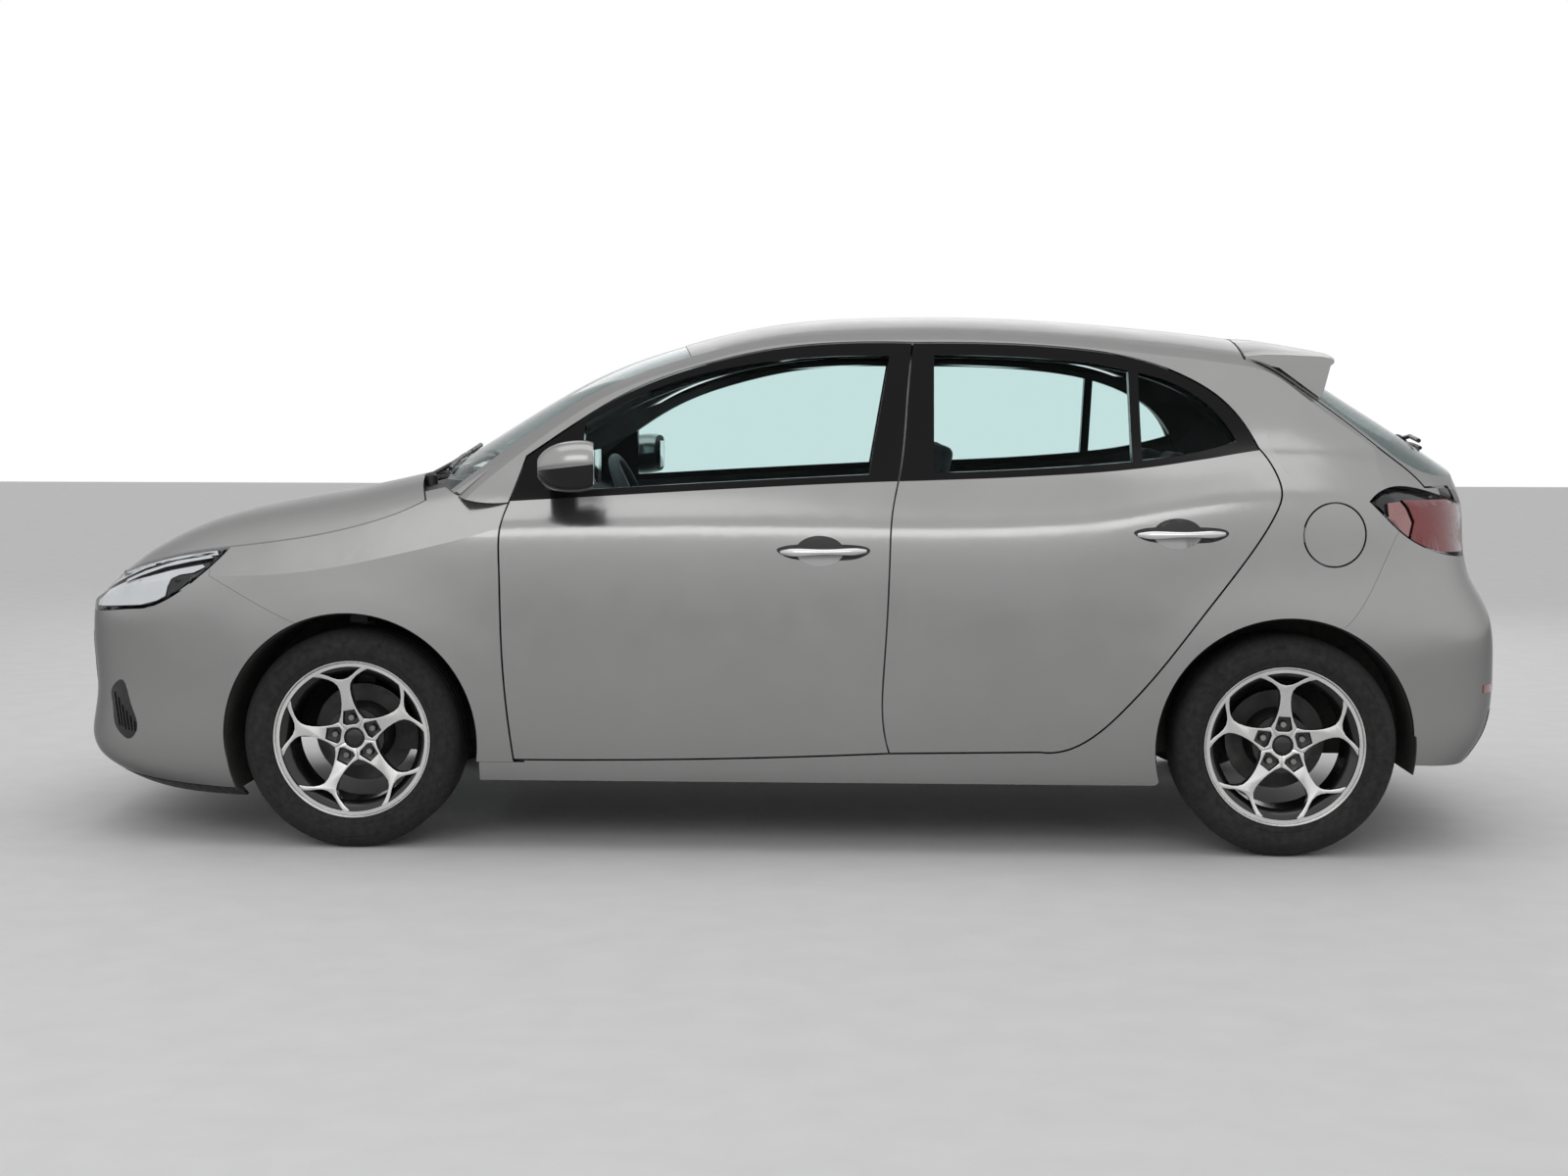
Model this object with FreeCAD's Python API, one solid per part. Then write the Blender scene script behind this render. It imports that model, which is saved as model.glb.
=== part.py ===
import FreeCAD, Part
import math
import os

V = FreeCAD.Vector
document = FreeCAD.newDocument("hatchback_car")

# Driving sizes, in millimetres unless the name says otherwise
SIZES = {
    "car_length": 4112,
    "body_width": 1782,
    "car_height": 1502,
    "wheelbase": 2570,
    "front_overhang": 870,
    "wheel_centre": 760,
    "tyre_radius": 305,
    "tyre_width": 195,
    "tyre_shoulder": 22,
    "rim_radius": 220,
    "rim_lip": 6,
    "rim_wall": 7,
    "rim_dish": 26,
    "rim_width": 176,
    "spoke_count": 5,
    "spoke_depth": 34,
    "hub_radius": 74,
    "cap_radius": 29,
    "disc_radius": 138,
    "disc_thick": 22,
    "rear_disc_thick": 12,
    "arch_radius": 357,
    "flare": 9,
    "house_inner": 480,
    "house_wall": 4,
    "rear_house_inner": 632,
    "panel_gap": 5,
    "seam": 0.8,
    "skin": 12,
    "bumper_skin": 22,
    "door_inner": 775,
    "door_step": 20,
    "post_inner": 700,
    "post_lap": 42,
    "roof_depth": 34,
    "glass": 5,
    "glass_set_back": 14,
    "seal": 0.3,
    "lamp_depth": 62,
    "tailgate_depth": 50,
    "lamp_inner": 560,
    "sill_bottom": 197,
    "floor_top": 232,
    "floor_thick": 18,
    "flap_radius": 84,
    "flap_thick": 8,
    "steer_ring": 185,
    "steer_tube": 16,
    "bonnet_depth": 26,
    "seat_width": 500,
    "seat_thick": 130,
    "kingpin": 715,
}

sheet = document.addObject("Spreadsheet::Sheet", "Sizes")
for line, (alias, value) in enumerate(SIZES.items(), start=1):
    sheet.set("A%d" % line, alias)
    sheet.set("B%d" % line, str(value))
    sheet.setAlias("B%d" % line, alias)
document.recompute()


def size(alias):
    """A size as the sheet holds it."""
    return float(getattr(sheet, alias))


HALF_LENGTH = size("car_length") / 2
HALF_WIDTH = size("body_width") / 2
HEIGHT = size("car_height")
FRONT_AXLE = HALF_LENGTH - size("front_overhang")
REAR_AXLE = FRONT_AXLE - size("wheelbase")
WHEEL_Y = size("wheel_centre")
HUB_Z = size("tyre_radius")
GAP = size("panel_gap")
SEAM = size("seam")
SKIN = size("skin")
SEAL = size("seal")
FAR = 3000.0


def box(x0, x1, y0, y1, z0, z1):
    """A block between two corners."""
    return Part.makeBox(x1 - x0, y1 - y0, z1 - z0, V(x0, y0, z0))


def rod(radius, start, end):
    """A round bar from one point to another."""
    way = end - start
    return Part.makeCylinder(radius, way.Length, start, way)


def mirrored(shape):
    """The same piece on the other side of the car."""
    return shape.mirror(V(0, 0, 0), V(0, 1, 0))


def both(shape):
    """A left piece with its right twin, as separate solids."""
    return Part.makeCompound(shape.Solids + mirrored(shape).Solids)


def joined(shapes):
    """Overlapping pieces as one solid."""
    return shapes[0].multiFuse(shapes[1:]).removeSplitter()


def largest(shape):
    """The main solid of a cut, without the slivers beside it."""
    return max(shape.Solids, key=lambda solid: solid.Volume)


# The body's outer form: curves through a few guide heights and widths

def along(x, guide):
    """Value at x on a smooth curve through guide points (x, value)."""
    points = sorted(guide)
    last = len(points) - 1
    if x <= points[0][0]:
        return points[0][1]
    if x >= points[last][0]:
        return points[last][1]

    def slope(index):
        low = max(index - 1, 0)
        high = min(index + 1, last)
        return (points[high][1] - points[low][1]) / (points[high][0] - points[low][0])

    index = 0
    while x > points[index + 1][0]:
        index += 1
    start, end = points[index], points[index + 1]
    span = end[0] - start[0]
    step = (x - start[0]) / span
    rise = 3 * step ** 2 - 2 * step ** 3
    lead = step ** 3 - 2 * step ** 2 + step
    trail = step ** 3 - step ** 2
    return start[1] * (1 - rise) + end[1] * rise + span * (lead * slope(index) + trail * slope(index + 1))


CREASE_LINE = [
    (2000, 760), (1826, 790), (1504, 825), (1284, 862), (762, 899), (130, 909), (-310, 905),
    (-562, 900), (-860, 920), (-1009, 948), (-1207, 978), (-1359, 988), (-1590, 991),
    (-1900, 960), (-2000, 930),
]
BELT_LINE = [
    (2000, 940), (1500, 960), (878, 971), (628, 980), (352, 995), (38, 1007), (-325, 1021),
    (-827, 1045), (-992, 1061), (-1314, 1105), (-1700, 1090), (-2000, 1050),
]


def at_height(height):
    return lambda x: height


def above_crease(rise):
    return lambda x: along(x, CREASE_LINE) + rise


def on_belt(x):
    return along(x, BELT_LINE)


# Each row: nose back from the front end, tail in from the rear end, side in from the full
# half width, how square the corners are, and the row's height
ROWS = [
    (256, 256, 91, 4.6, at_height(100)),
    (44, 106, 33, 4.6, at_height(180)),
    (-14, 51, 19, 4.6, at_height(245)),
    (4, 11, 9, 4.8, at_height(320)),
    (24, 0, 4, 4.8, at_height(410)),
    (14, 0, 1, 4.8, at_height(510)),
    (11, 3, 0, 4.8, at_height(610)),
    (22, 34, 0, 4.8, at_height(690)),
    (40, 91, 2, 4.7, at_height(765)),
    (51, 96, 5, 4.6, above_crease(-42)),
    (61, 93, 13, 4.4, above_crease(2)),
    (76, 93, 41, 4.2, above_crease(38)),
    (126, 106, 89, 3.6, on_belt),
    (306, 116, 145, 3.5, at_height(1120)),
    (456, 136, 205, 3.4, at_height(1240)),
    (556, 156, 281, 3.4, at_height(1400)),
    (656, 206, 361, 3.4, at_height(1560)),
]
NOSE_TURN = 600.0
TAIL_TURN = -700.0
PAST_MIDDLE = 150.0
CORNER_STEPS = (0.18, 0.35, 0.50, 0.63, 0.74, 0.83, 0.90, 0.95, 0.98)
SIDE_STEPS = (0.55, 0.48, 0.41, 0.34, 0.26, 0.18, 0.08)
DOOR_STATIONS = (350.0, -50.0, -450.0)
FLARE = size("flare")
FLARE_REACH = 115.0
FLARE_DEPTH = 40.0


def flare_at(x, z):
    """How far the wing swells out near a wheel arch."""
    away = min(math.hypot(x - FRONT_AXLE, z - HUB_Z), math.hypot(x - REAR_AXLE, z - HUB_Z))
    share = (away - size("arch_radius")) / FLARE_REACH
    share = min(max(share, 0.0), 1.0)
    low = min(max((z - 240.0) / 150.0, 0.0), 1.0)
    return FLARE * low * (1 - 3 * share ** 2 + 2 * share ** 3)


def side_row(nose, tail, side, power, height, inset):
    """Guide points of one row, from just past the nose's middle round the left side."""
    half = HALF_WIDTH - side - inset

    def corner(turn, reach):
        points = [(turn + reach * (1 - abs(y / half) ** power) ** (1 / power), y) for y in (-PAST_MIDDLE, 0.0)]
        points += [(turn + reach * (1 - f ** power) ** (1 / power), half * f) for f in CORNER_STEPS]
        points += [(turn + reach * f, half * (1 - f ** power) ** (1 / power)) for f in SIDE_STEPS]
        return points

    front = corner(NOSE_TURN, HALF_LENGTH - nose - inset - NOSE_TURN)
    back = corner(TAIL_TURN, -HALF_LENGTH + tail + inset - TAIL_TURN)
    middle = [(x, half) for x in DOOR_STATIONS]
    points = front + middle + back[::-1]
    swell = max(0.0, 1 - inset / FLARE_DEPTH)
    return [V(x, y + swell * flare_at(x, height(x)) * max(y, 0) / half, height(x)) for x, y in points]


def spline_sheet(grid):
    """A smooth cubic sheet whose control points are the grid."""

    def knots(count):
        return [float(i) for i in range(count - 2)], [4] + [1] * (count - 4) + [4]

    u_knots, u_mults = knots(len(grid))
    v_knots, v_mults = knots(len(grid[0]))
    sheet_surface = Part.BSplineSurface()
    sheet_surface.buildFromPolesMultsKnots(grid, u_mults, v_mults, u_knots, v_knots, False, False, 3, 3)
    return sheet_surface.toShape()


def side_volume(inset):
    """All that lies inside the nose, left side and tail, this far in from the paint."""
    grid = [side_row(*row, inset) for row in ROWS]
    side = spline_sheet(grid)

    def edge(test):
        return [e for e in side.Edges if test(e.BoundBox)][0]

    low, high = grid[0][0].z, grid[-1][0].z
    bottom = edge(lambda b: b.ZMax < low + 1)
    top = edge(lambda b: b.ZMin > high - 1)
    front = edge(lambda b: b.YMax < 1 - PAST_MIDDLE and b.XMin > 0)
    rear = edge(lambda b: b.YMax < 1 - PAST_MIDDLE and b.XMax < 0)
    under = Part.LineSegment(grid[0][0], grid[0][-1]).toShape()
    over = Part.LineSegment(grid[-1][0], grid[-1][-1]).toShape()

    def cap(edges):
        return Part.Face(Part.Wire(Part.__sortEdges__(edges)))

    shell = Part.makeShell([side, cap([bottom, under]), cap([top, over]), cap([front, over, rear, under])])
    shell.sewShape()
    solid = Part.makeSolid(shell)
    if solid.Volume < 0:
        solid.reverse()
    return solid


# Middle line of the windscreen, roof and rear window, and of the bonnet
ROOF_LINE = [
    (1250, 900), (1010, 1060), (960, 1093), (790, 1200), (610, 1305), (460, 1370), (310, 1417),
    (170, 1453), (7, 1482), (-156, 1496), (-373, 1502), (-590, 1500), (-754, 1492),
    (-1024, 1470), (-1300, 1440), (-1400, 1418), (-1480, 1368), (-1640, 1265), (-1800, 1165),
    (-1930, 1078), (-2100, 965), (-2200, 900),
]
ROOF_STATIONS = [
    1250, 1150, 1080, 1010, 960, 880, 790, 700, 610, 535, 460, 385, 310, 240, 170, 90, 7, -75,
    -156, -260, -373, -480, -590, -754, -900, -1024, -1160, -1300, -1360, -1410, -1450, -1500,
    -1560, -1640, -1720, -1800, -1870, -1930, -2010, -2100, -2200,
]
ROOF_BOW = [(900, 0.00017), (300, 0.00012), (0, 0.0), (-1000, 0.0), (-1500, -0.0001), (-2000, -0.00013)]
ROOF_ACROSS = [-950, -800, -700, -600, -500, -350, -200, 0, 200, 350, 500, 600, 700, 800, 950]
ROOF_FALL = [(1100, 38), (700, 40), (450, 48), (150, 66), (-250, 80), (-600, 80), (-2200, 80)]
ROOF_FALL_AT = 600.0
BONNET_LINE = [
    (2200, 430), (2080, 590), (2010, 685), (1969, 727), (1942, 755), (1885, 801), (1802, 855),
    (1705, 898), (1604, 928), (1504, 948), (1397, 968), (1287, 986), (1087, 1030), (900, 1072),
    (600, 1140),
]
BONNET_STATIONS = [
    2200, 2100, 2040, 2000, 1970, 1940, 1900, 1850, 1800, 1700, 1600, 1500, 1400, 1300, 1200,
    1100, 1000, 900, 800, 700, 600,
]
BONNET_ACROSS = [
    -950, -870, -780, -700, -600, -450, -300, -150, 0, 150, 300, 450, 600, 700, 780, 870, 950,
]
BONNET_FALL = 100.0
BONNET_FALL_AT = 780.0
BONNET_BOW = 0.00004


def roof_volume(inset):
    """All that lies under the windscreen, roof and rear window on the left."""

    def height(x, y):
        bow = along(x, ROOF_BOW)
        fall = along(x, ROOF_FALL) * abs(y / ROOF_FALL_AT) ** 3.3
        return along(x + bow * y * y, ROOF_LINE) - fall - 1502 + HEIGHT - inset

    grid = [[V(x, y, height(x, y)) for y in ROOF_ACROSS] for x in ROOF_STATIONS]
    return spline_sheet(grid).extrude(V(0, 0, -1400)).common(box(-FAR, FAR, 0, FAR, -FAR, FAR))


def bonnet_volume(inset):
    """All that lies under the bonnet and wing tops on the left."""

    def height(x, y):
        fall = BONNET_FALL * abs(y / BONNET_FALL_AT) ** 5.5
        return along(x + BONNET_BOW * y * y, BONNET_LINE) - fall - inset

    grid = [[V(x, y, height(x, y)) for y in BONNET_ACROSS] for x in BONNET_STATIONS]
    return spline_sheet(grid).extrude(V(0, 0, -1200)).common(box(-FAR, FAR, 0, FAR, -FAR, FAR))


MADE = {}


def once(kind, inset, maker):
    """A volume that several panels share is made once."""
    if (kind, inset) not in MADE:
        MADE[(kind, inset)] = maker(inset)
    return MADE[(kind, inset)]


def side_at(inset):
    return once("side", inset, side_volume)


def under_bonnet(inset):
    return once("bonnet", inset, bonnet_volume)


def cabin(inset):
    """Left half of the car behind the windscreen's foot, this far in from the paint."""
    return once("cabin", inset, lambda depth: side_at(depth).common(roof_volume(depth)))


def nose(inset):
    """Left half of the car's front, this far in from the paint."""
    return once("nose", inset, lambda depth: side_at(depth).common(bonnet_volume(depth)))


# Outlines drawn in side view (x, z) or in plan (x, y): stretches that share their ends

def curve(points):
    if len(points) == 2:
        return Part.LineSegment(points[0], points[1]).toShape()
    spline = Part.BSplineCurve()
    spline.interpolate(points)
    return spline.toShape()


def outline(stretches, inset, place):
    """A closed wire through the stretches, moved in by inset."""
    loop = []
    for stretch in stretches:
        loop += stretch[:-1]
    count = len(loop)
    turn = sum(loop[i][0] * loop[(i + 1) % count][1] - loop[(i + 1) % count][0] * loop[i][1] for i in range(count))
    hand = 1 if turn > 0 else -1
    moved = []
    for i in range(count):
        before, here, after = loop[i - 1], loop[i], loop[(i + 1) % count]
        first = math.hypot(here[0] - before[0], here[1] - before[1])
        second = math.hypot(after[0] - here[0], after[1] - here[1])
        n1 = (-(here[1] - before[1]) / first * hand, (here[0] - before[0]) / first * hand)
        n2 = (-(after[1] - here[1]) / second * hand, (after[0] - here[0]) / second * hand)
        share = inset / (1 + n1[0] * n2[0] + n1[1] * n2[1])
        moved.append((here[0] + share * (n1[0] + n2[0]), here[1] + share * (n1[1] + n2[1])))
    edges = []
    at = 0
    for stretch in stretches:
        points = [place(*moved[(at + i) % count]) for i in range(len(stretch))]
        edges.append(curve(points))
        at += len(stretch) - 1
    return Part.Wire(edges)


def side_prism(stretches, inset=0.0, y0=-1.0, y1=1200.0):
    """A side view outline pushed across the left half of the car."""
    face = Part.Face(outline(stretches, inset, lambda a, b: V(a, y0, b)))
    return face.extrude(V(0, y1 - y0, 0))


def plan_prism(stretches, inset=0.0, z0=0.0, z1=1700.0):
    """A plan outline pushed up through the car."""
    face = Part.Face(outline(stretches, inset, lambda a, b: V(a, b, z0)))
    return face.extrude(V(0, 0, z1 - z0))


def back_prism(stretches, inset=0.0, x0=-2200.0, x1=-1000.0):
    """A rear view outline (y, z) pushed forward through the car."""
    face = Part.Face(outline(stretches, inset, lambda a, b: V(x0, a, b)))
    return face.extrude(V(x1 - x0, 0, 0))


FRONT_SHUT = [(730, 257), (738, 323), (752, 464), (761, 643), (764, 791), (762, 899), (742, 977), (705, 1090)]
FRONT_DOOR_TOP = [
    (705, 1090), (530, 1210), (421, 1273), (310, 1319), (198, 1353), (48, 1387), (-178, 1409),
    (-366, 1409),
]
DOOR_SPLIT = [
    (-366, 1409), (-350, 1240), (-330, 1045), (-310, 942), (-304, 845), (-297, 650), (-288, 501),
    (-285, 442), (-304, 283),
]
REAR_DOOR_TOP = [
    (-1314, 1118), (-1273, 1196), (-1210, 1263), (-1141, 1307), (-1060, 1343), (-949, 1374),
    (-779, 1397), (-517, 1409), (-366, 1409),
]
REAR_SHUT = [
    (-715, 290), (-813, 306), (-862, 336), (-939, 407), (-1035, 517), (-1140, 655), (-1258, 811),
    (-1340, 940), (-1360, 1000), (-1349, 1054), (-1314, 1118),
]
FRONT_DOOR = [FRONT_SHUT, FRONT_DOOR_TOP, DOOR_SPLIT, [(-304, 283), (250, 262), (730, 257)]]
REAR_DOOR = [REAR_DOOR_TOP, DOOR_SPLIT, [(-304, 283), (-715, 290)], REAR_SHUT]
FRONT_WINDOW = [
    [(556, 998), (150, 1022), (-245, 1043)],
    [(-245, 1043), (-301, 1372)],
    [(-301, 1372), (-100, 1368), (100, 1346), (280, 1304), (420, 1250), (547, 1180)],
    [(547, 1180), (556, 998)],
]
REAR_WINDOW = [
    [(-424, 1048), (-700, 1060), (-967, 1080)],
    [(-967, 1080), (-967, 1332)],
    [(-967, 1332), (-860, 1352), (-700, 1367), (-560, 1373), (-426, 1374)],
    [(-426, 1374), (-424, 1048)],
]
QUARTER_WINDOW = [
    [(-994, 1084), (-1150, 1108), (-1256, 1136)],
    [(-1256, 1136), (-1195, 1225), (-1110, 1286), (-994, 1325)],
    [(-994, 1325), (-994, 1084)],
]
HEADLAMP = [
    [(1535, 836), (1710, 816), (1800, 790), (1885, 755), (2060, 676)],
    [(2060, 676), (2060, 636)],
    [(2060, 636), (1900, 650), (1810, 660), (1771, 664), (1724, 680), (1661, 715), (1606, 756), (1535, 836)],
]
TAIL_LAMP = [
    [(-1601, 975), (-1635, 1002), (-1746, 1010), (-2100, 1003)],
    [(-2100, 1003), (-2100, 846)],
    [(-2100, 846), (-1770, 846), (-1709, 878), (-1652, 926), (-1601, 975)],
]
BUMPER_SEAM_FRONT = [(1577, 759), (1493, 714), (1434, 682), (1329, 633)]
BUMPER_SEAM_REAR = [(-1692, 905), (-1641, 803), (-1597, 716), (-1539, 641)]

BONNET_PLAN = [
    [(1955, -40), (1953, 60), (1940, 300), (1905, 560), (1885, 633)],
    [(1885, 633), (1800, 700), (1710, 737), (1557, 770), (1380, 786), (1180, 784), (1060, 768), (993, 742)],
    [(993, 742), (1040, 500), (1063, 200), (1068, 40), (1069, -40)],
    [(1069, -40), (1955, -40)],
]
SCREEN_SIDE = [(942, 700), (760, 655), (500, 603), (262, 562)]
ROOF_SIDE = [(262, 562), (150, 556), (-500, 553), (-1300, 553)]
WINDSCREEN_PLAN = [
    [(1004, -1), (1000, 200), (980, 450), (942, 700)],
    SCREEN_SIDE,
    [(262, 562), (300, 300), (314, -1)],
    [(314, -1), (1004, -1)],
]


def axle_cylinder(x, radius, y0, y1):
    return rod(radius, V(x, y0, HUB_Z), V(x, y1, HUB_Z))


FRONT_ARCH = axle_cylinder(FRONT_AXLE, size("arch_radius"), size("house_inner") - SEAL, 1000)
REAR_ARCH = axle_cylinder(REAR_AXLE, size("arch_radius"), size("rear_house_inner") - SEAL, 1000)

# Layers of the left half, each cut once and shared by the panels
CABIN_SKIN = cabin(0.0)
CABIN_UNDER_SKIN = cabin(SKIN)
NOSE_SKIN = nose(0.0)
NOSE_UNDER_SKIN = nose(SKIN)
NOSE_UNDER_BUMPER = nose(size("bumper_skin"))
TAIL_UNDER_BUMPER = cabin(size("bumper_skin"))


# Inner faces of doors, pillars and cabin lining: upright below the belt, leaning in above it,
# drawn in towards the tail
LEAN_FROM = 975.0
LEAN_TO = 1600.0
LEAN = 0.524
TAIL_LIMIT = [(-1150, 0), (-1200, 35), (-1314, 90), (-1400, 135), (-1500, 180), (-1750, 250), (-2300, 380)]
RAIL_LINE = [
    (1300, 800), (1016, 925), (942, 965), (760, 1095), (500, 1230), (262, 1318), (100, 1352), (-373, 1378),
    (-900, 1355), (-1160, 1325), (-1300, 1300), (-1500, 1150), (-1700, 1020), (-2300, 800),
]


def inner_space(reach, rail_drop=None):
    """Room inside a lining this far from the middle, under the rails if they are given."""
    top = reach - LEAN * (LEAN_TO - LEAN_FROM)
    section = [(-1, 50), (reach, 50), (reach, LEAN_FROM), (top, LEAN_TO), (-1, LEAN_TO)]
    space = Part.Face(Part.makePolygon([V(-2300, y, z) for y, z in section + section[:1]])).extrude(V(3600, 0, 0))
    plan = [(-2300, -2), (1300, -2), (1300, reach)] + [(x, reach - step) for x, step in TAIL_LIMIT]
    floor = Part.makePolygon([V(x, y, 0) for x, y in plan + plan[:1]])
    space = space.common(Part.Face(floor).extrude(V(0, 0, 1700)))
    if rail_drop is not None:
        view = [(-2300, 40), (1300, 40)] + [(x, z - rail_drop) for x, z in RAIL_LINE]
        wall = Part.makePolygon([V(x, -3, z) for x, z in view + view[:1]])
        space = space.common(Part.Face(wall).extrude(V(0, 1000, 0)))
    return space


DOOR_SPACE = inner_space(size("door_inner"))
POST_SPACE = inner_space(size("door_inner") - GAP - 1, 0.0)
ROOM_SPACE = inner_space(size("post_inner"), 50.0)


def door(opening, windows):
    """A door: thin skin out to its edges, deeper box inside them, windows cut."""
    reach = side_prism(opening, GAP / 2)
    deep = side_prism(opening, GAP / 2 + size("door_step"))
    skin = CABIN_SKIN.common(reach).cut(CABIN_UNDER_SKIN)
    core = CABIN_UNDER_SKIN.common(deep).cut(DOOR_SPACE)
    shape = skin.fuse(core)
    for window in windows:
        shape = shape.cut(side_prism(window))
    return largest(shape)


def door_glass(windows):
    """The door's panes, just inside the frame's face."""
    outer = cabin(size("glass_set_back"))
    inner = cabin(size("glass_set_back") + size("glass"))
    panes = []
    for window in windows:
        reach = side_prism(window, SEAL)
        panes.append(largest(outer.common(reach).cut(inner)))
    return Part.makeCompound(panes)


SIDE_ZONE = [
    [(-1032, size("sill_bottom")), (826, size("sill_bottom"))],
    [(826, size("sill_bottom")), (826, 250)],
    [(826, 250), (700, 250)],
    [(700, 250), (720, 968)],
    [(720, 968), (878, 973), (1016, 1052)],
    [(1016, 1052), (1016, 1600)],
    [(1016, 1600), (-1300, 1600)],
    [(-1300, 1600), (-1300, 1367)],
    [(-1300, 1367), (-1345, 1350), (-1437, 1292), (-1566, 1199), (-1695, 1094), (-1751, 1048), (-1785, 1008)],
    [(-1785, 1008), (-1830, 1008)],
    [(-1830, 1008), (-1830, 905)],
    [(-1830, 905), (-1692, 905)],
    BUMPER_SEAM_REAR,
    [(-1539, 641), (-1400, 560)],
    [(-1400, 560), (-1032, size("sill_bottom"))],
]
SIDE_ROOF_LINE = [
    [(1100, 755), (942, 700)],
    SCREEN_SIDE,
    ROOF_SIDE,
    [(-1300, 553), (-2200, 553)],
    [(-2200, 553), (-2200, 1000)],
    [(-2200, 1000), (1100, 1000)],
    [(1100, 1000), (1100, 755)],
]


def body_side():
    """Sill, pillars, cant rail and rear quarter of the left side."""
    roof_line = plan_prism(SIDE_ROOF_LINE, SEAM / 2)
    back_room = tailgate_reach(-GAP / 2)
    lamp_room = side_prism(TAIL_LAMP, -SEAM / 2)
    wall = CABIN_SKIN.common(side_prism(SIDE_ZONE, SEAM / 2)).common(roof_line).cut(POST_SPACE)
    for door_room in (side_prism(FRONT_DOOR, -GAP / 2), side_prism(REAR_DOOR, -GAP / 2)):
        wall = wall.cut(door_room)
    wall = wall.cut(back_room).cut(lamp_room).cut(REAR_ARCH).cut(FRONT_ARCH)
    lap = size("post_lap")
    posts = POST_SPACE.common(side_prism(POST_ZONE)).cut(side_prism(FRONT_DOOR, lap))
    posts = posts.cut(side_prism(REAR_DOOR, lap)).cut(ROOM_SPACE).common(roof_line)
    posts = posts.cut(back_room).cut(REAR_ARCH).cut(FRONT_ARCH).cut(lamp_room)
    shape = wall.fuse(posts)
    pads = [jack_pad(x) for x in JACK_POINTS]
    return joined([largest(shape)] + pads)


JACK_POINTS = (640.0, -860.0)
JACK_Y = 745.0
JACK_SIDE = 60.0
JACK_DROP = 14.0


def jack_pad(x):
    """Flat pad under the sill where a jack lifts the car."""
    low = size("sill_bottom") - JACK_DROP
    half = JACK_SIDE / 2
    return box(x - half, x + half, JACK_Y - half, JACK_Y + half, low, low + JACK_DROP + 12)


POST_ZONE = [
    [(-1020, 205), (846, 205)],
    [(846, 205), (846, 960)],
    [(846, 960), (1016, 1052)],
    [(1016, 1052), (1016, 1600)],
    [(1016, 1600), (-1260, 1600)],
    [(-1260, 1600), (-1260, 1419)],
    [(-1260, 1419), (-1339, 1330), (-1500, 1200), (-1640, 1094)],
    [(-1640, 1094), (-1640, 700)],
    [(-1640, 700), (-1400, 560)],
    [(-1400, 560), (-1020, 205)],
]


def show(name, shape, spot=V(0, 0, 0), turn=FreeCAD.Rotation()):
    """A free-form piece as an object of the document."""
    piece = document.addObject("Part::Feature", name)
    piece.Label = name
    piece.Shape = shape
    piece.Placement = FreeCAD.Placement(spot, turn)
    return piece



FENDER_ZONE = [
    [(730, 250), (738, 323), (752, 464), (761, 643), (764, 791), (762, 899), (742, 968)],
    [(742, 968), (878, 973), (1016, 1052)],
    [(1016, 1052), (1016, 1200)],
    [(1016, 1200), (1640, 1200)],
    [(1640, 1200), (1577, 759)],
    BUMPER_SEAM_FRONT,
    [(1329, 633), (1186, 560)],
    [(1186, 560), (870, 250)],
    [(870, 250), (730, 250)],
]
BONNET_CUT = plan_prism(BONNET_PLAN, -GAP / 2, 600).cut(under_bonnet(size("bonnet_depth") + GAP))
FENDER_INNER = 694.0
LAMP_FRONT_INNER = 500.0


def headlamp_zone(inset):
    """The headlamp's room in the corner of the nose."""
    return side_prism(HEADLAMP, inset, LAMP_FRONT_INNER + inset)


def fender():
    """Front wing: skin with a return along the arch and a bracket to the hinge post."""
    zone = side_prism(FENDER_ZONE, SEAM / 2, FENDER_INNER)
    shape = NOSE_SKIN.common(zone).cut(NOSE_UNDER_SKIN).cut(side_prism(FRONT_DOOR, -GAP / 2))
    shape = shape.cut(side_prism(SIDE_ZONE, -SEAM / 2))
    bracket = box(776, 836, size("door_inner") - GAP - 1 + SEAL, 884, 872, 890).common(NOSE_SKIN)
    shape = shape.cut(BONNET_CUT).cut(FRONT_ARCH).cut(headlamp_zone(-SEAM / 2)).fuse(bracket)
    return largest(shape)


BUMPER_ZONE_FRONT = [
    [(2200, 100), (1200, 100)],
    [(1200, 100), (1200, 560)],
    [(1200, 560), (1329, 633)],
    [(1329, 633), (1434, 682), (1493, 714), (1577, 759)],
    [(1577, 759), (1640, 1200)],
    [(1640, 1200), (2200, 1200)],
    [(2200, 1200), (2200, 100)],
]
CHIN_CUT = [
    [(2200, 50), (1000, 50)],
    [(1000, 50), (1000, 130)],
    [(1000, 130), (1648, 139)],
    [(1648, 139), (1789, 150), (1885, 168), (1982, 200), (2048, 226)],
    [(2048, 226), (2200, 240)],
    [(2200, 240), (2200, 50)],
]
GRILLE_OPENING = [
    [(-40, 300), (380, 306)],
    [(380, 306), (560, 470)],
    [(560, 470), (545, 560)],
    [(545, 560), (-40, 585)],
    [(-40, 585), (-40, 300)],
]
UPPER_SLOT = [
    [(-1, 628), (400, 622)],
    [(400, 622), (420, 640)],
    [(420, 640), (-1, 652)],
    [(-1, 652), (-1, 628)],
]


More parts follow.
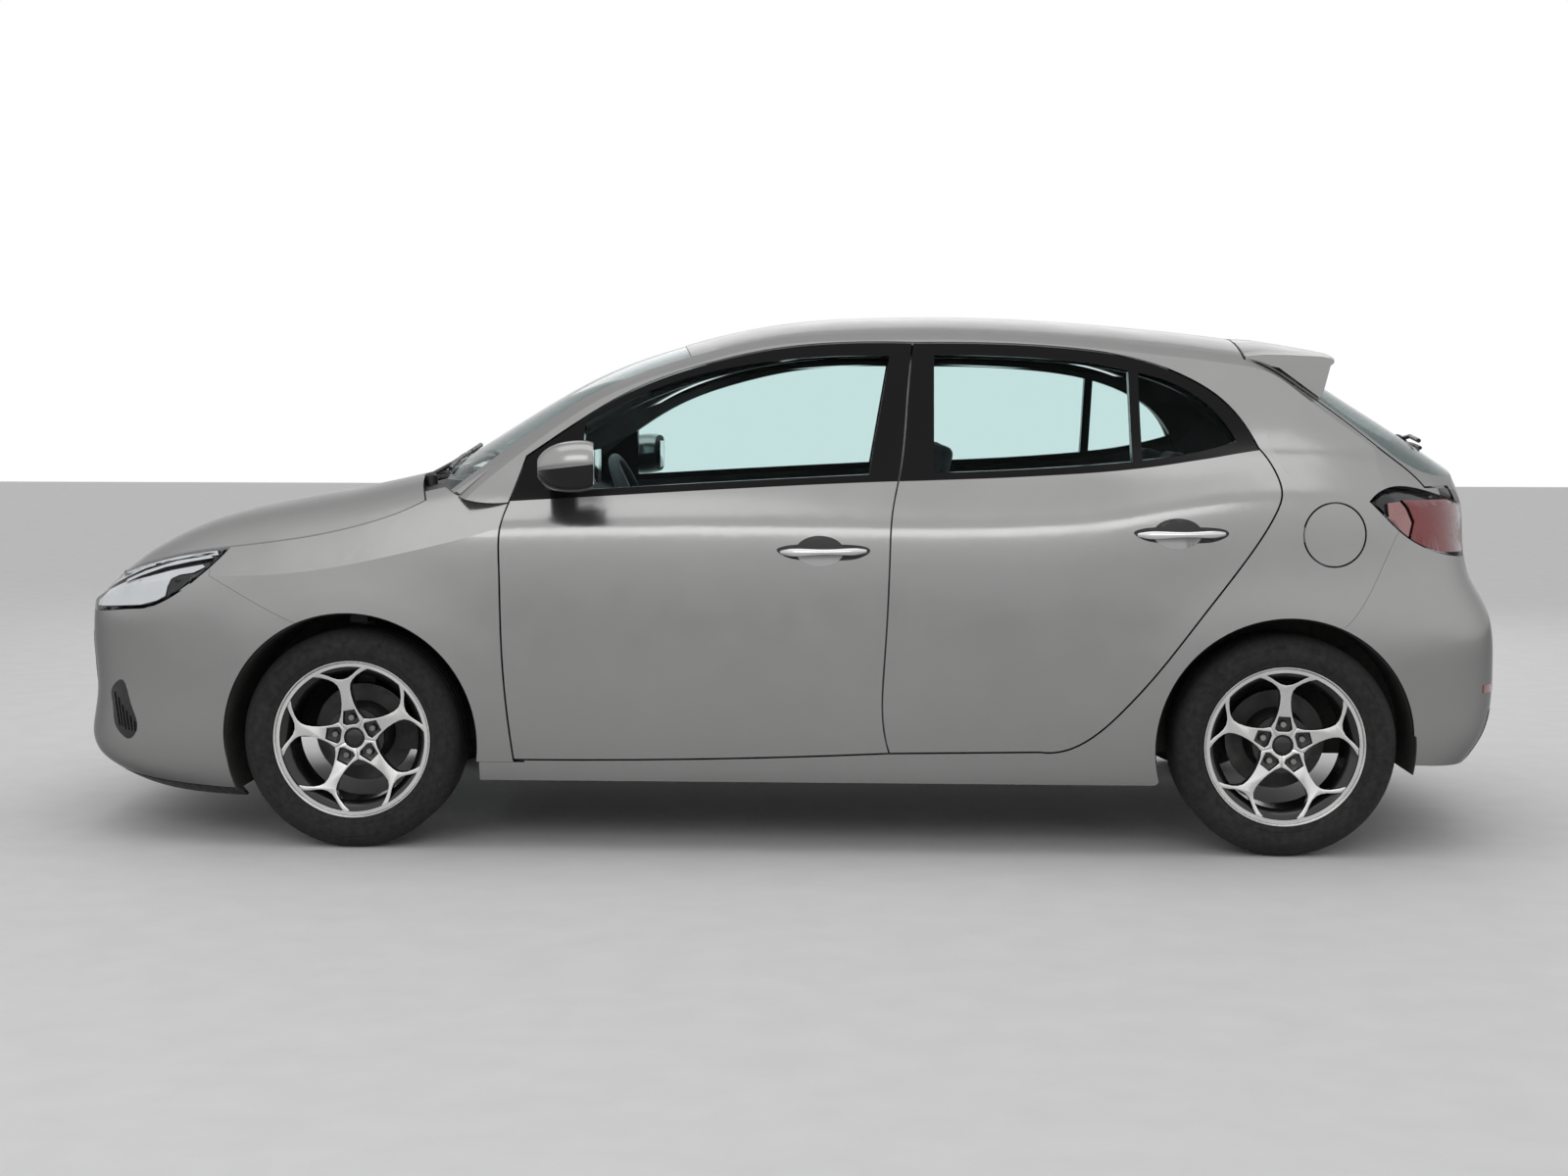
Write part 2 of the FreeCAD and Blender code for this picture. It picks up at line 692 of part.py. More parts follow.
def front_bumper():
    """Front bumper skin with its grille openings and side intakes."""
    zone = side_prism(BUMPER_ZONE_FRONT, SEAM / 2).common(box(0, FAR, 0, FAR, 0, FAR))
    shape = NOSE_SKIN.common(zone).cut(NOSE_UNDER_BUMPER)
    shape = shape.cut(side_prism(CHIN_CUT)).cut(FRONT_ARCH).cut(BONNET_CUT)
    shape = shape.cut(headlamp_zone(-SEAM / 2))
    for opening in (GRILLE_OPENING, UPPER_SLOT):
        shape = shape.cut(back_prism(opening, 0.0, 1700.0, 2200.0))
    shape = largest(shape)
    return shape.fuse(mirrored(shape)).removeSplitter()


def bonnet():
    """Bonnet: thin outer edge and a deeper tray inside it."""
    reach = plan_prism(BONNET_PLAN, GAP / 2, 600)
    inner = plan_prism(BONNET_PLAN, GAP / 2 + size("door_step"), 600)
    skin = NOSE_SKIN.common(reach).cut(under_bonnet(SKIN))
    half_room = box(-FAR, FAR, 0, FAR, -FAR, FAR)
    tray = NOSE_UNDER_SKIN.common(inner).cut(under_bonnet(size("bonnet_depth"))).common(half_room)
    shape = largest(skin.common(half_room).fuse(tray))
    return shape.fuse(mirrored(shape)).removeSplitter()


TAILGATE_EDGE = -1300.0 + GAP / 2


def roof_panel():
    """Roof skin and lining between the windscreen, the cant rails and the tailgate."""
    plan = [
        [(314, -1), (300, 300), (262, 562)],
        ROOF_SIDE,
        [(-1300, 553), (-1300, -1)],
        [(-1300, -1), (314, -1)],
    ]
    shape = CABIN_SKIN.common(plan_prism(plan, SEAM / 2)).cut(cabin(size("roof_depth")))
    shape = shape.common(box(TAILGATE_EDGE, FAR, 0, FAR, 1000, FAR))
    shape = largest(shape)
    return shape.fuse(mirrored(shape)).removeSplitter()


def windscreen():
    """Windscreen pane set just under the roof's surface."""
    outer = cabin(2.0)
    pane = outer.common(plan_prism(WINDSCREEN_PLAN, SEAM / 2, 1000)).cut(cabin(2.0 + size("glass")))
    pane = pane.common(box(0, FAR, 0, FAR, 1020, FAR))
    pane = largest(pane)
    return pane.fuse(mirrored(pane)).removeSplitter()


def headlamp():
    """Left headlamp block behind its clear cover."""
    zone = headlamp_zone(SEAM / 2)
    shape = NOSE_SKIN.common(zone).cut(nose(size("lamp_depth"))).cut(BONNET_CUT)
    return largest(shape)


def tail_lamp():
    """Left tail lamp, round the corner of the quarter."""
    zone = side_prism(TAIL_LAMP, SEAM / 2).common(box(-FAR, 0, size("lamp_inner"), FAR, 0, FAR))
    return largest(CABIN_SKIN.common(zone).cut(cabin(size("lamp_depth"))))


TAILGATE_ZONE = [
    [(-1300, 1600), (-1300, 1367)],
    [(-1300, 1367), (-1345, 1350), (-1437, 1292), (-1566, 1199), (-1695, 1094), (-1751, 1048), (-1785, 1008)],
    [(-1785, 1008), (-1785, 800)],
    [(-1785, 800), (-2200, 800)],
    [(-2200, 800), (-2200, 1600)],
    [(-2200, 1600), (-1300, 1600)],
]
TAILGATE_BACK = [
    [(-40, 700), (470, 700)],
    [(470, 700), (520, 850), (556, 1000)],
    [(556, 1000), (556, 1010)],
    [(556, 1010), (900, 1010)],
    [(900, 1010), (900, 1600)],
    [(900, 1600), (-40, 1600)],
    [(-40, 1600), (-40, 700)],
]
REAR_SCREEN = [
    [(-1437, 1292), (-1566, 1199), (-1695, 1094)],
    [(-1695, 1094), (-1710, 1082), (-2100, 1082)],
    [(-2100, 1082), (-2100, 1330)],
    [(-2100, 1330), (-1437, 1330)],
    [(-1437, 1330), (-1437, 1292)],
]
REAR_SCREEN_HOLE = [
    [(-40, 1110), (470, 1120)],
    [(470, 1120), (540, 1160), (500, 1290)],
    [(500, 1290), (-40, 1305)],
    [(-40, 1305), (-40, 1110)],
]


def tailgate_reach(inset):
    """Room of the tailgate between its side seams, lower edge and roof edge."""
    return side_prism(TAILGATE_ZONE, inset, -50.0).common(back_prism(TAILGATE_BACK, inset, -2200, -1200))


def tailgate():
    """Tailgate: thin outer edge, deeper inside, with a bed for the rear screen."""
    reach = tailgate_reach(GAP / 2)
    deep = tailgate_reach(GAP / 2 + size("door_step"))
    half_room = box(-FAR, FAR, 0, FAR, -FAR, FAR)
    skin = CABIN_SKIN.common(reach).cut(CABIN_UNDER_SKIN)
    core = CABIN_UNDER_SKIN.common(deep).cut(cabin(size("tailgate_depth")))
    shape = skin.fuse(core).common(half_room)
    bed = side_prism(REAR_SCREEN, GAP / 2 + SKIN - 3, -50.0).cut(cabin(size("glass") + SEAL))
    shape = shape.cut(bed).cut(back_prism(REAR_SCREEN_HOLE, 0.0, -2200, -1300))
    leaf = box(TAILGATE_EDGE - 40, TAILGATE_EDGE - SEAL, 300, 370, 1370, 1402)
    shape = joined([largest(shape), leaf])
    return shape.fuse(mirrored(shape)).removeSplitter()


def tailgate_glass():
    """Rear screen, bonded on the tailgate."""
    reach = side_prism(REAR_SCREEN, GAP / 2 + SKIN - 3 + SEAL).common(box(-FAR, 0, 0, FAR, 0, FAR))
    pane = largest(CABIN_SKIN.common(reach).cut(cabin(size("glass"))))
    return pane.fuse(mirrored(pane)).removeSplitter()


BUMPER_ZONE_REAR = [
    [(-2200, 100), (-1383, 100)],
    [(-1383, 100), (-1383, 560)],
    [(-1383, 560), (-1539, 641)],
    [(-1539, 641), (-1597, 716), (-1641, 803), (-1692, 905)],
    [(-1692, 905), (-1830, 905)],
    [(-1830, 905), (-1830, 848)],
    [(-1830, 848), (-2200, 848)],
    [(-2200, 848), (-2200, 100)],
]
REAR_CHIN_CUT = [
    [(-2200, 60), (-1000, 60)],
    [(-1000, 60), (-1000, 240)],
    [(-1000, 240), (-1730, 250), (-1900, 232), (-2200, 225)],
    [(-2200, 225), (-2200, 60)],
]


def rear_bumper():
    """Rear bumper skin."""
    zone = side_prism(BUMPER_ZONE_REAR, SEAM / 2).common(box(-FAR, 0, 0, FAR, 0, FAR))
    shape = CABIN_SKIN.common(zone).cut(TAIL_UNDER_BUMPER).cut(tailgate_reach(-GAP / 2))
    shape = shape.cut(side_prism(REAR_CHIN_CUT)).cut(REAR_ARCH).cut(side_prism(TAIL_LAMP, -SEAM / 2))
    shape = largest(shape)
    return shape.fuse(mirrored(shape)).removeSplitter()


def grille():
    """Lower grille: a frame behind the opening with level slats and uprights."""
    x_back, x_front = 1950.0, 2060.0
    backing = back_prism(GRILLE_OPENING, -14.0, x_back, x_front)
    backing = backing.cut(back_prism(GRILLE_OPENING, 10.0, x_back - 5, x_front + 5))
    parts = [backing.common(box(0, FAR, 0, FAR, 0, FAR))]
    inside = back_prism(GRILLE_OPENING, -4.0, x_back, x_front)
    for level in range(7):
        z = 330.0 + 38.0 * level
        parts.append(box(x_back, x_front, 0, 700, z, z + 10).common(inside))
    for post in range(4):
        y = 70.0 + 130.0 * post
        parts.append(box(x_back, x_front, y, y + 10, 200, 700).common(inside))
    face = nose(size("bumper_skin") + SEAL).cut(nose(size("bumper_skin") + GRILLE_DEPTH))
    half = largest(joined([p for p in parts if p.Volume > 1]).common(face))
    return half.fuse(mirrored(half)).removeSplitter()


GRILLE_DEPTH = 26.0


def wheel_liner(x, inner, depth):
    """Plastic arch liner over a wheel, with its inner wall."""
    radius = size("arch_radius") - SEAL
    wall = size("house_wall")
    shell = rod(radius, V(x, inner, HUB_Z), V(x, depth, HUB_Z))
    shell = shell.cut(rod(radius - wall, V(x, inner + wall, HUB_Z), V(x, depth + 10, HUB_Z)))
    shell = shell.cut(box(x - 500, x + 500, 0, 1000, -200, size("sill_bottom") + 60))
    return shell.common(side_at(SKIN + SEAL))


def front_liner():
    """Front arch liner with the boss that holds the top of the steered upright."""
    shell = wheel_liner(FRONT_AXLE, size("house_inner"), 900)
    top = HUB_Z + size("arch_radius") - SEAL - 2
    boss = rod(30, V(FRONT_AXLE, size("kingpin"), STRUT_TOP + SEAL), V(FRONT_AXLE, size("kingpin"), top))
    return joined([shell, boss])


def rear_liner():
    """Rear arch liner, open where the axle passes."""
    shell = wheel_liner(REAR_AXLE, size("rear_house_inner"), 900)
    return shell.cut(box(REAR_AXLE - 58, REAR_AXLE + 58, 500, 660, 0, HUB_Z + 58))


STRUT_TOP = 640.0


BEAD_RADIUS = 203.5
BEAD_HALF = 81.7


def tyre():
    """Tyre as a turned ring: flat tread, round shoulders and bulged walls down to the beads."""
    radius, half = size("tyre_radius"), size("tyre_width") / 2
    lip = size("rim_radius") + 0.5
    tread = half - size("tyre_shoulder") - 9.5
    wall = [(lip + 1, BEAD_HALF + 4), (lip + 17, half - 3), (radius - 43, half), (radius - 21, half - 5)]
    edges = []
    for side in (1, -1):
        flank = Part.BSplineCurve()
        last = V(0.974, -0.228 * side, 0)
        flank.interpolate(Points=[V(r, side * y, 0) for r, y in wall], InitialTangent=V(0.5, 0.86 * side, 0),
                          FinalTangent=last)
        low, high = wall[0], wall[-1]
        turn = Part.Arc(V(high[0], side * high[1], 0), V(radius - 7.0, side * (half - 15.0), 0), V(radius, side * tread, 0))
        edges += [flank.toShape(), turn.toShape()]
        edges.append(Part.LineSegment(V(low[0], side * low[1], 0), V(lip, side * BEAD_HALF, 0)).toShape())
        edges.append(Part.LineSegment(V(lip, side * BEAD_HALF, 0), V(BEAD_RADIUS, side * BEAD_HALF, 0)).toShape())
    for r, y in ((radius, tread), (BEAD_RADIUS, BEAD_HALF)):
        edges.append(Part.LineSegment(V(r, y, 0), V(r, -y, 0)).toShape())
    face = Part.Face(Part.Wire(Part.__sortEdges__(edges)))
    return face.revolve(V(0, 0, 0), V(0, 1, 0), 360)


def spoke_outline(angle):
    """One Y spoke in the wheel's face, as a closed side view wire of (x, z)."""
    stem_in, stem_fork, tip = 60.0, 120.0, size("rim_radius") - 18
    left = [(-34, stem_in), (-15, 100), (-17, stem_fork), (-62, tip), (-40, tip + 4)]
    crotch = [(-40, tip + 4), (0, 148), (40, tip + 4)]
    right = [(40, tip + 4), (62, tip), (17, stem_fork), (15, 100), (34, stem_in)]
    points = left + crotch[1:] + right[1:]
    turned = []
    for a, b in points:
        turned.append(V(a * math.cos(angle) - b * math.sin(angle), 0, a * math.sin(angle) + b * math.cos(angle)))
    return Part.makePolygon(turned + turned[:1])


def wheel(disc_thick, first_angle):
    """Rim with split spokes, hub, cap and brake disc, turning as one."""
    rim, wall, half = size("rim_radius"), size("rim_wall"), size("rim_width") / 2
    lip = size("rim_lip")
    seat = BEAD_RADIUS - SEAL
    barrel = [
        (rim - lip, half), (rim, half), (rim, half - lip), (seat, half - lip), (seat, half - 24),
        (seat - 18, half - 36), (seat - 18, -half + 36), (seat, -half + 24), (seat, -half + lip),
        (rim, -half + lip), (rim, -half), (rim - lip, -half), (seat - wall, -half + 20),
        (seat - 18 - wall, -half + 36), (seat - 18 - wall, half - 36), (seat - wall, half - 20),
    ]
    ring = Part.makePolygon([V(r, y, 0) for r, y in barrel + barrel[:1]])
    shapes = [Part.Face(ring).revolve(V(0, 0, 0), V(0, 1, 0), 360)]
    face_y = half - size("rim_dish")
    depth = size("spoke_depth")
    for index in range(int(size("spoke_count"))):
        angle = first_angle + index * 2 * math.pi / size("spoke_count")
        spoke = Part.Face(spoke_outline(angle)).extrude(V(0, depth, 0))
        spoke.translate(V(0, face_y - depth, 0))
        shapes.append(spoke.common(rod(seat - 2, V(0, -half, 0), V(0, half, 0))))
    shapes.append(rod(size("hub_radius"), V(0, face_y - depth - 8, 0), V(0, face_y - 6, 0)))
    shapes.append(rod(size("cap_radius"), V(0, face_y - 10, 0), V(0, face_y - 1, 0)))
    disc_y = -92.0
    shapes.append(rod(size("disc_radius"), V(0, disc_y, 0), V(0, disc_y + disc_thick, 0)))
    shapes.append(rod(64, V(0, disc_y + 2, 0), V(0, face_y - depth, 0)))
    solid = shapes[0].multiFuse(shapes[1:])
    bore = rod(20 + SEAL, V(0, disc_y - 5, 0), V(0, disc_y + 60, 0))
    return largest(solid.cut(bore))


def knuckle():
    """Left front upright with stub axle, steering arm, strut foot and caliper."""
    back = WHEEL_Y - 92
    carrier = rod(52, V(FRONT_AXLE, back - 62, HUB_Z), V(FRONT_AXLE, back - GAP, HUB_Z))
    stub = rod(20, V(FRONT_AXLE, back - 20, HUB_Z), V(FRONT_AXLE, back + 50, HUB_Z))
    upright = box(FRONT_AXLE - 24, FRONT_AXLE + 24, back - 60, back - 22, 200, STRUT_TOP)
    top = box(FRONT_AXLE - 24, FRONT_AXLE + 24, back - 60, size("kingpin") + 24, STRUT_TOP - 18, STRUT_TOP)
    arm = box(FRONT_AXLE - 120, FRONT_AXLE, back - 56, back - 34, 270, 296)
    reach = size("disc_radius")
    bridge = box(-reach - 28, -reach + 42, -26, 48, -46, 46)
    slot = rod(reach + 4, V(0, -4, 0), V(0, size("disc_thick") + 4, 0))
    caliper = bridge.cut(slot)
    caliper.translate(V(FRONT_AXLE, back, HUB_Z))
    link = box(FRONT_AXLE - reach + 2, FRONT_AXLE, back - 26, back - GAP - 1, HUB_Z - 40, HUB_Z + 40)
    return joined([carrier, stub, upright, top, arm, link, caliper])


BULKHEAD_FRONT = 868.0
SEAT_STEP_REAR = -1020.0


def front_subframe():
    """Side rails, cross beam, crash beam and lower arms, joined."""
    rail = box(BULKHEAD_FRONT + SEAL, 1900, 378, 440, 320, 400)
    beam = box(1880, 1940, 0, 520, 400, 500)
    cross = box(1120, 1260, 0, 440, 240, 330)
    arm = box(1150, 1222, 430, 588, 212, 240)
    drop = box(1150, 1222, 400, 440, 212, 330)
    half = joined([rail, beam, cross, arm, drop])
    return half.fuse(mirrored(half)).removeSplitter()


def rear_axle():
    """Twist beam with trailing arms, stubs and calipers."""
    beam = rod(38, V(REAR_AXLE + 190, -1, HUB_Z + 5), V(REAR_AXLE + 190, 590, HUB_Z + 5))
    arm = box(REAR_AXLE - 40, SEAT_STEP_REAR - SEAL, 545, 592, HUB_Z - 32, HUB_Z + 30)
    back = WHEEL_Y - 92
    carrier = rod(46, V(REAR_AXLE, 545, HUB_Z), V(REAR_AXLE, back - GAP, HUB_Z))
    stub = rod(20, V(REAR_AXLE, 600, HUB_Z), V(REAR_AXLE, back + 40, HUB_Z))
    spring = rod(52, V(REAR_AXLE + 130, 568, HUB_Z + 25), V(REAR_AXLE + 130, 568, 430 - SEAL))
    half = joined([beam.common(box(-FAR, FAR, 0, FAR, 0, FAR)), arm, carrier, stub, spring])
    return half.fuse(mirrored(half)).removeSplitter()


def floor_pan():
    """Floor with tunnel, bulkhead, seat step and boot floor as one pressing."""
    top = size("floor_top")
    low = top - size("floor_thick")
    side = size("post_inner") - SEAL
    floor = box(-1000, 850, 0, side, low, top)
    tunnel = box(-950, 850, 0, 110, top, top + 110)
    bulkhead = box(850, BULKHEAD_FRONT, 0, 690, low, 900)
    seat_step = box(SEAT_STEP_REAR, -1000, 0, 600, low, 430)
    boot = box(-1840, -1000, 0, 625, 430, 446)
    tail = box(-1888, -1840, 0, 590, 430, 770)
    half = joined([floor, tunnel, bulkhead, seat_step, boot, tail]).cut(FRONT_ARCH).cut(REAR_ARCH)
    return half.fuse(mirrored(half)).removeSplitter()


def cowl():
    """Plastic scuttle from under the bonnet's rear edge to the windscreen's foot, with a wiper pair."""
    under = nose(size("bonnet_depth") + GAP)
    strip = under.common(box(COWL_BACK, COWL_FRONT, 0, COWL_HALF, 700, FAR)).cut(nose(COWL_DEPTH))
    rest = box(1040, 1070, 560, 590, 950, 1100).common(nose(size("bonnet_depth") + SEAL))
    half = joined([largest(strip), rest])
    return half.fuse(mirrored(half)).removeSplitter()


COWL_BACK, COWL_FRONT, COWL_HALF = 900.0, 1100.0, 690.0
COWL_DEPTH = 90.0
SEAT_X = -130.0
SEAT_Y = 365.0


def seat(x, y, width):
    """Seat cushion, backrest and headrest as one plain padded form."""
    cushion = box(x - 60, x + 470, y - width / 2, y + width / 2, 300, 300 + size("seat_thick") + 30)
    back = box(x - 150, x - 20, y - width / 2, y + width / 2, 330, 960)
    head = box(x - 170, x - 75, y - 130, y + 130, 985, 1175)
    post = box(x - 128, x - 112, y - 60, y + 60, 950, 1000)
    upper = joined([back, head, post])
    upper.rotate(V(x - 60, y, 330), V(0, 1, 0), -14)
    rail_a = box(x - 40, x + 420, y - 190, y - 150, size("floor_top") + SEAL, 310)
    rail_b = box(x - 40, x + 420, y + 150, y + 190, size("floor_top") + SEAL, 310)
    return largest(joined([cushion, upper, rail_a, rail_b]))


def rear_seat():
    """Rear bench with its backrest."""
    cushion = box(-960, -520, -640, 640, 300, 470)
    plinth = box(-940, -560, -560, 560, size("floor_top") + SEAL, 310)
    plinth = plinth.cut(box(-1000, -500, -112, 112, 200, size("floor_top") + 115))
    back = box(-990, -870, -560, 560, 455, 1010)
    back.rotate(V(-930, 0, 455), V(0, 1, 0), -20)
    tunnel_room = box(-1000, -500, -113, 113, 200, size("floor_top") + 115)
    return largest(joined([cushion, plinth, back]).cut(tunnel_room))


def dashboard():
    """Dashboard with centre console and steering column."""
    lip = [
        [(849.7, 600), (849.7, 900)],
        [(849.7, 900), (800, 985), (640, 960), (560, 900)],
        [(560, 900), (600, 700), (700, 600)],
        [(700, 600), (849.7, 600)],
    ]
    body = largest(side_prism(lip, 0.0, 0.0, 690.0).common(ROOM_SPACE))
    console = box(-60, 700, 0, 100, size("floor_top") + 110 + SEAL, 560)
    stack = box(610, 700, 0, 100, 500, 720)
    half = joined([body, console, stack])
    whole = half.fuse(mirrored(half)).removeSplitter()
    way = steering_way()
    column = rod(36, STEER_AT + way * 40, STEER_AT + way * 200)
    return whole.fuse(column).removeSplitter()


STEER_AT = V(430, 365, 905)
STEER_TILT = 24.0


def steering_way():
    """Direction from the steering wheel down its column."""
    tilt = math.radians(STEER_TILT)
    return V(math.cos(tilt), 0, -math.sin(tilt))


def steering_wheel():
    """Rim, three spokes and boss."""
    ring, tube = size("steer_ring"), size("steer_tube")
    rim = Part.makeTorus(ring, tube)
    boss = Part.makeCylinder(58, 40, V(0, 0, -10))
    shaft = Part.makeCylinder(20, 45 - SEAL, V(0, 0, -5))
    left_spoke = box(-ring, ring, -20, 20, -6, 10)
    low_spoke = box(-22, 22, -ring, 0, -6, 10)
    shape = joined([rim, boss, left_spoke, low_spoke])
    return largest(shape.fuse(shaft))


def steering_turn():
    """Turns the wheel's own axis down its column, with its low spoke down."""
    tilt = math.radians(STEER_TILT)
    return FreeCAD.Rotation(V(0, -1, 0), V(math.sin(tilt), 0, math.cos(tilt)), steering_way())


MIRROR_SECTIONS = [
    (497, 0.90), (520, 0.99), (560, 1.0), (600, 0.90), (630, 0.68), (648, 0.36),
]
MIRROR_MIDDLE = (935.0, 1069.0)
MIRROR_HALF = (92.0, 69.0)
MIRROR_SLANT = 0.12


def mirror():
    """Left door mirror: rounded shell on a foot, flat where its glass sits."""
    wires = []
    for x, share in MIRROR_SECTIONS:
        points = []
        for step in range(16):
            turn = 2 * math.pi * step / 16
            across = abs(math.cos(turn)) ** 0.62 * math.copysign(1, math.cos(turn))
            up = abs(math.sin(turn)) ** 0.62 * math.copysign(1, math.sin(turn))
            y = MIRROR_MIDDLE[0] + MIRROR_HALF[0] * share * across
            z = MIRROR_MIDDLE[1] + MIRROR_HALF[1] * share * up - MIRROR_SLANT * (x - 497) * 0.5
            points.append(V(x - MIRROR_SLANT * (y - MIRROR_MIDDLE[0]), y, z))
        ring = Part.BSplineCurve()
        ring.interpolate(points, PeriodicFlag=True)
        wires.append(Part.Wire(ring.toShape()))
    shell = Part.makeLoft(wires, True)
    foot = box(566, 636, 740, 880, 1000, 1040).cut(side_at(0.0))
    return largest(joined([shell, foot]))


def fuel_flap():
    """Round filler flap in the left quarter with its hinge tab."""
    disc = rod(size("flap_radius"), V(FLAP_X, 700, FLAP_Z), V(FLAP_X, 950, FLAP_Z))
    lid = CABIN_SKIN.common(disc).cut(cabin(size("flap_thick")))
    edge = FLAP_X + size("flap_radius")
    tab = box(edge - 14, edge + FLAP_RIM, 800, 880, FLAP_Z - 20, FLAP_Z + 20)
    wall = rod(size("flap_radius") + FLAP_RIM - SEAL, V(FLAP_X, 700, FLAP_Z), V(FLAP_X, 950, FLAP_Z))
    tab = tab.common(wall).common(cabin(size("flap_thick") - 2))
    return largest(lid.fuse(tab))


FLAP_X, FLAP_Z, FLAP_RIM = -1504.0, 886.0, 5.0
FLAP_POCKET = rod(size("flap_radius") + FLAP_RIM, V(FLAP_X, 780, FLAP_Z), V(FLAP_X, 950, FLAP_Z))


def hinge_leaves(x0, x1, heights):
    """Leaves that carry a left door on its post."""
    inner = size("door_inner")
    leaves = [box(x0, x1, inner - GAP - 1 + SEAL, inner + 8, z, z + 70) for z in heights]
    return leaves


def front_door_left():
    shape = door(FRONT_DOOR, [FRONT_WINDOW])
    return joined([shape] + hinge_leaves(723, 738, (400, 780)))


def rear_door_left():
    shape = door(REAR_DOOR, [REAR_WINDOW, QUARTER_WINDOW])
    return joined([shape] + hinge_leaves(-340, -324, (420, 760)))


def engine():
    """Engine and gearbox as one plain mass between the side rails."""
    return box(1080, 1560, -340, 377.7, 345, 800)


def exhaust():
    """Pipe, box and tailpipe under the floor."""
    pipe = rod(27, V(900, -150, 170), V(-1400, -150, 170))
    silencer = box(-1870, -1450, -480, -60, 260, 400)
    drop = rod(27, V(-1390, -150, 170), V(-1500, -150, 300))
    tail = rod(27, V(-1850, -400, 290), V(-1935, -400, 205))
    hanger = box(-1700, -1680, -300, -280, 390, 430 - SEAL)
    return joined([pipe, silencer, drop, tail, hanger])


def fuel_tank():
    """Flat tank under the rear seat."""
    return box(-930, -420, -80, 520, 140, size("floor_top") - size("floor_thick") - SEAL)


def build():
    side = body_side()
    left_side = side.cut(FLAP_POCKET)
    show("body_sides", Part.makeCompound([left_side, mirrored(side)]))
    show("roof_panel", roof_panel())
    show("floor_pan", floor_pan())
    show("front_fenders", both(fender()))
    show("front_bumper", front_bumper())
    show("rear_bumper", rear_bumper())
    show("grille", grille())
    show("headlamps", both(headlamp()))
    show("tail_lamps", both(tail_lamp()))
    show("windscreen", windscreen())
    show("cowl", cowl())
    liners = [front_liner(), rear_liner()]
    show("wheel_liners", Part.makeCompound(liners + [mirrored(liner) for liner in liners]))
    show("dashboard", dashboard())
    seat_left = seat(SEAT_X, SEAT_Y, size("seat_width"))
    show("front_seats", both(seat_left))
    show("rear_seat", rear_seat())
    show("engine_block", engine())
    show("front_subframe", front_subframe())
    show("rear_axle", rear_axle())
    show("exhaust", exhaust())
    show("fuel_tank", fuel_tank())
    front_door = front_door_left()
    rear_door = rear_door_left()
    front_panes = door_glass([FRONT_WINDOW])
    rear_panes = door_glass([REAR_WINDOW, QUARTER_WINDOW])
    left_mirror = mirror()
    for hand, turn in (("left", lambda shape: shape), ("right", mirrored)):
        show("door_front_" + hand, turn(front_door))
        show("door_rear_" + hand, turn(rear_door))
        show("window_front_" + hand, turn(front_panes))
        show("window_rear_" + hand, turn(rear_panes))
        show("mirror_" + hand, turn(left_mirror))
        show("knuckle_" + hand, turn(knuckle()))
    show("bonnet", bonnet())
    show("tailgate", tailgate())
    show("tailgate_glass", tailgate_glass())
    show("fuel_flap", fuel_flap())
    show("steering_wheel", steering_wheel(), STEER_AT, steering_turn())
    axles = (("front", FRONT_AXLE, size("disc_thick")), ("rear", REAR_AXLE, size("rear_disc_thick")))
    for end, x, disc in axles:
        for hand, side, turn in (("left", 1, lambda shape: shape), ("right", -1, mirrored)):
            spot = V(x, side * WHEEL_Y, HUB_Z)
            show("wheel_%s_%s" % (end, hand), turn(wheel(disc, 0.0)), spot)
            show("tyre_%s_%s" % (end, hand), turn(tyre()), spot)


build()
document.recompute()
os.makedirs("parts", exist_ok=True)
for old in os.listdir("parts"):
    os.remove(os.path.join("parts", old))
pieces = [thing for thing in document.Objects if hasattr(thing, "Shape")]
bad = []
for piece in pieces:
    state = [str(word) for word in piece.State]
    if "Invalid" in state or "Error" in state or piece.Shape.isNull() or not piece.Shape.isValid():
        bad.append(piece.Label)
if bad:
    raise RuntimeError("bad shapes: " + ", ".join(bad))
for piece in pieces:
    piece.Shape.exportStep("parts/%s.step" % piece.Label)
print("pieces", len(pieces))
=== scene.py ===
import bpy
import math
from mathutils import Matrix, Vector


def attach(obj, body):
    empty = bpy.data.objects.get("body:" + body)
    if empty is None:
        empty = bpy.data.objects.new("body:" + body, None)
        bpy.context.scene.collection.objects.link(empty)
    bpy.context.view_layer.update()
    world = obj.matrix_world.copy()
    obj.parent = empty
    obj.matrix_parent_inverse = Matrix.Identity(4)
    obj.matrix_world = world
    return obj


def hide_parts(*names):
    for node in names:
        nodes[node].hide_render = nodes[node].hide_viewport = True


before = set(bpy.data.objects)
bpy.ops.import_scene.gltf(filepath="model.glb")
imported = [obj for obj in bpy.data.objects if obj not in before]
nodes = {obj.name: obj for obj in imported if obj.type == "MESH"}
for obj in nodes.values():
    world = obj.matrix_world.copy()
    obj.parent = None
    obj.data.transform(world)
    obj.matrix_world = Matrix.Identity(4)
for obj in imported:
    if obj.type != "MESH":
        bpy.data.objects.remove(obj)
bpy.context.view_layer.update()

# Places in metres, angles in degrees

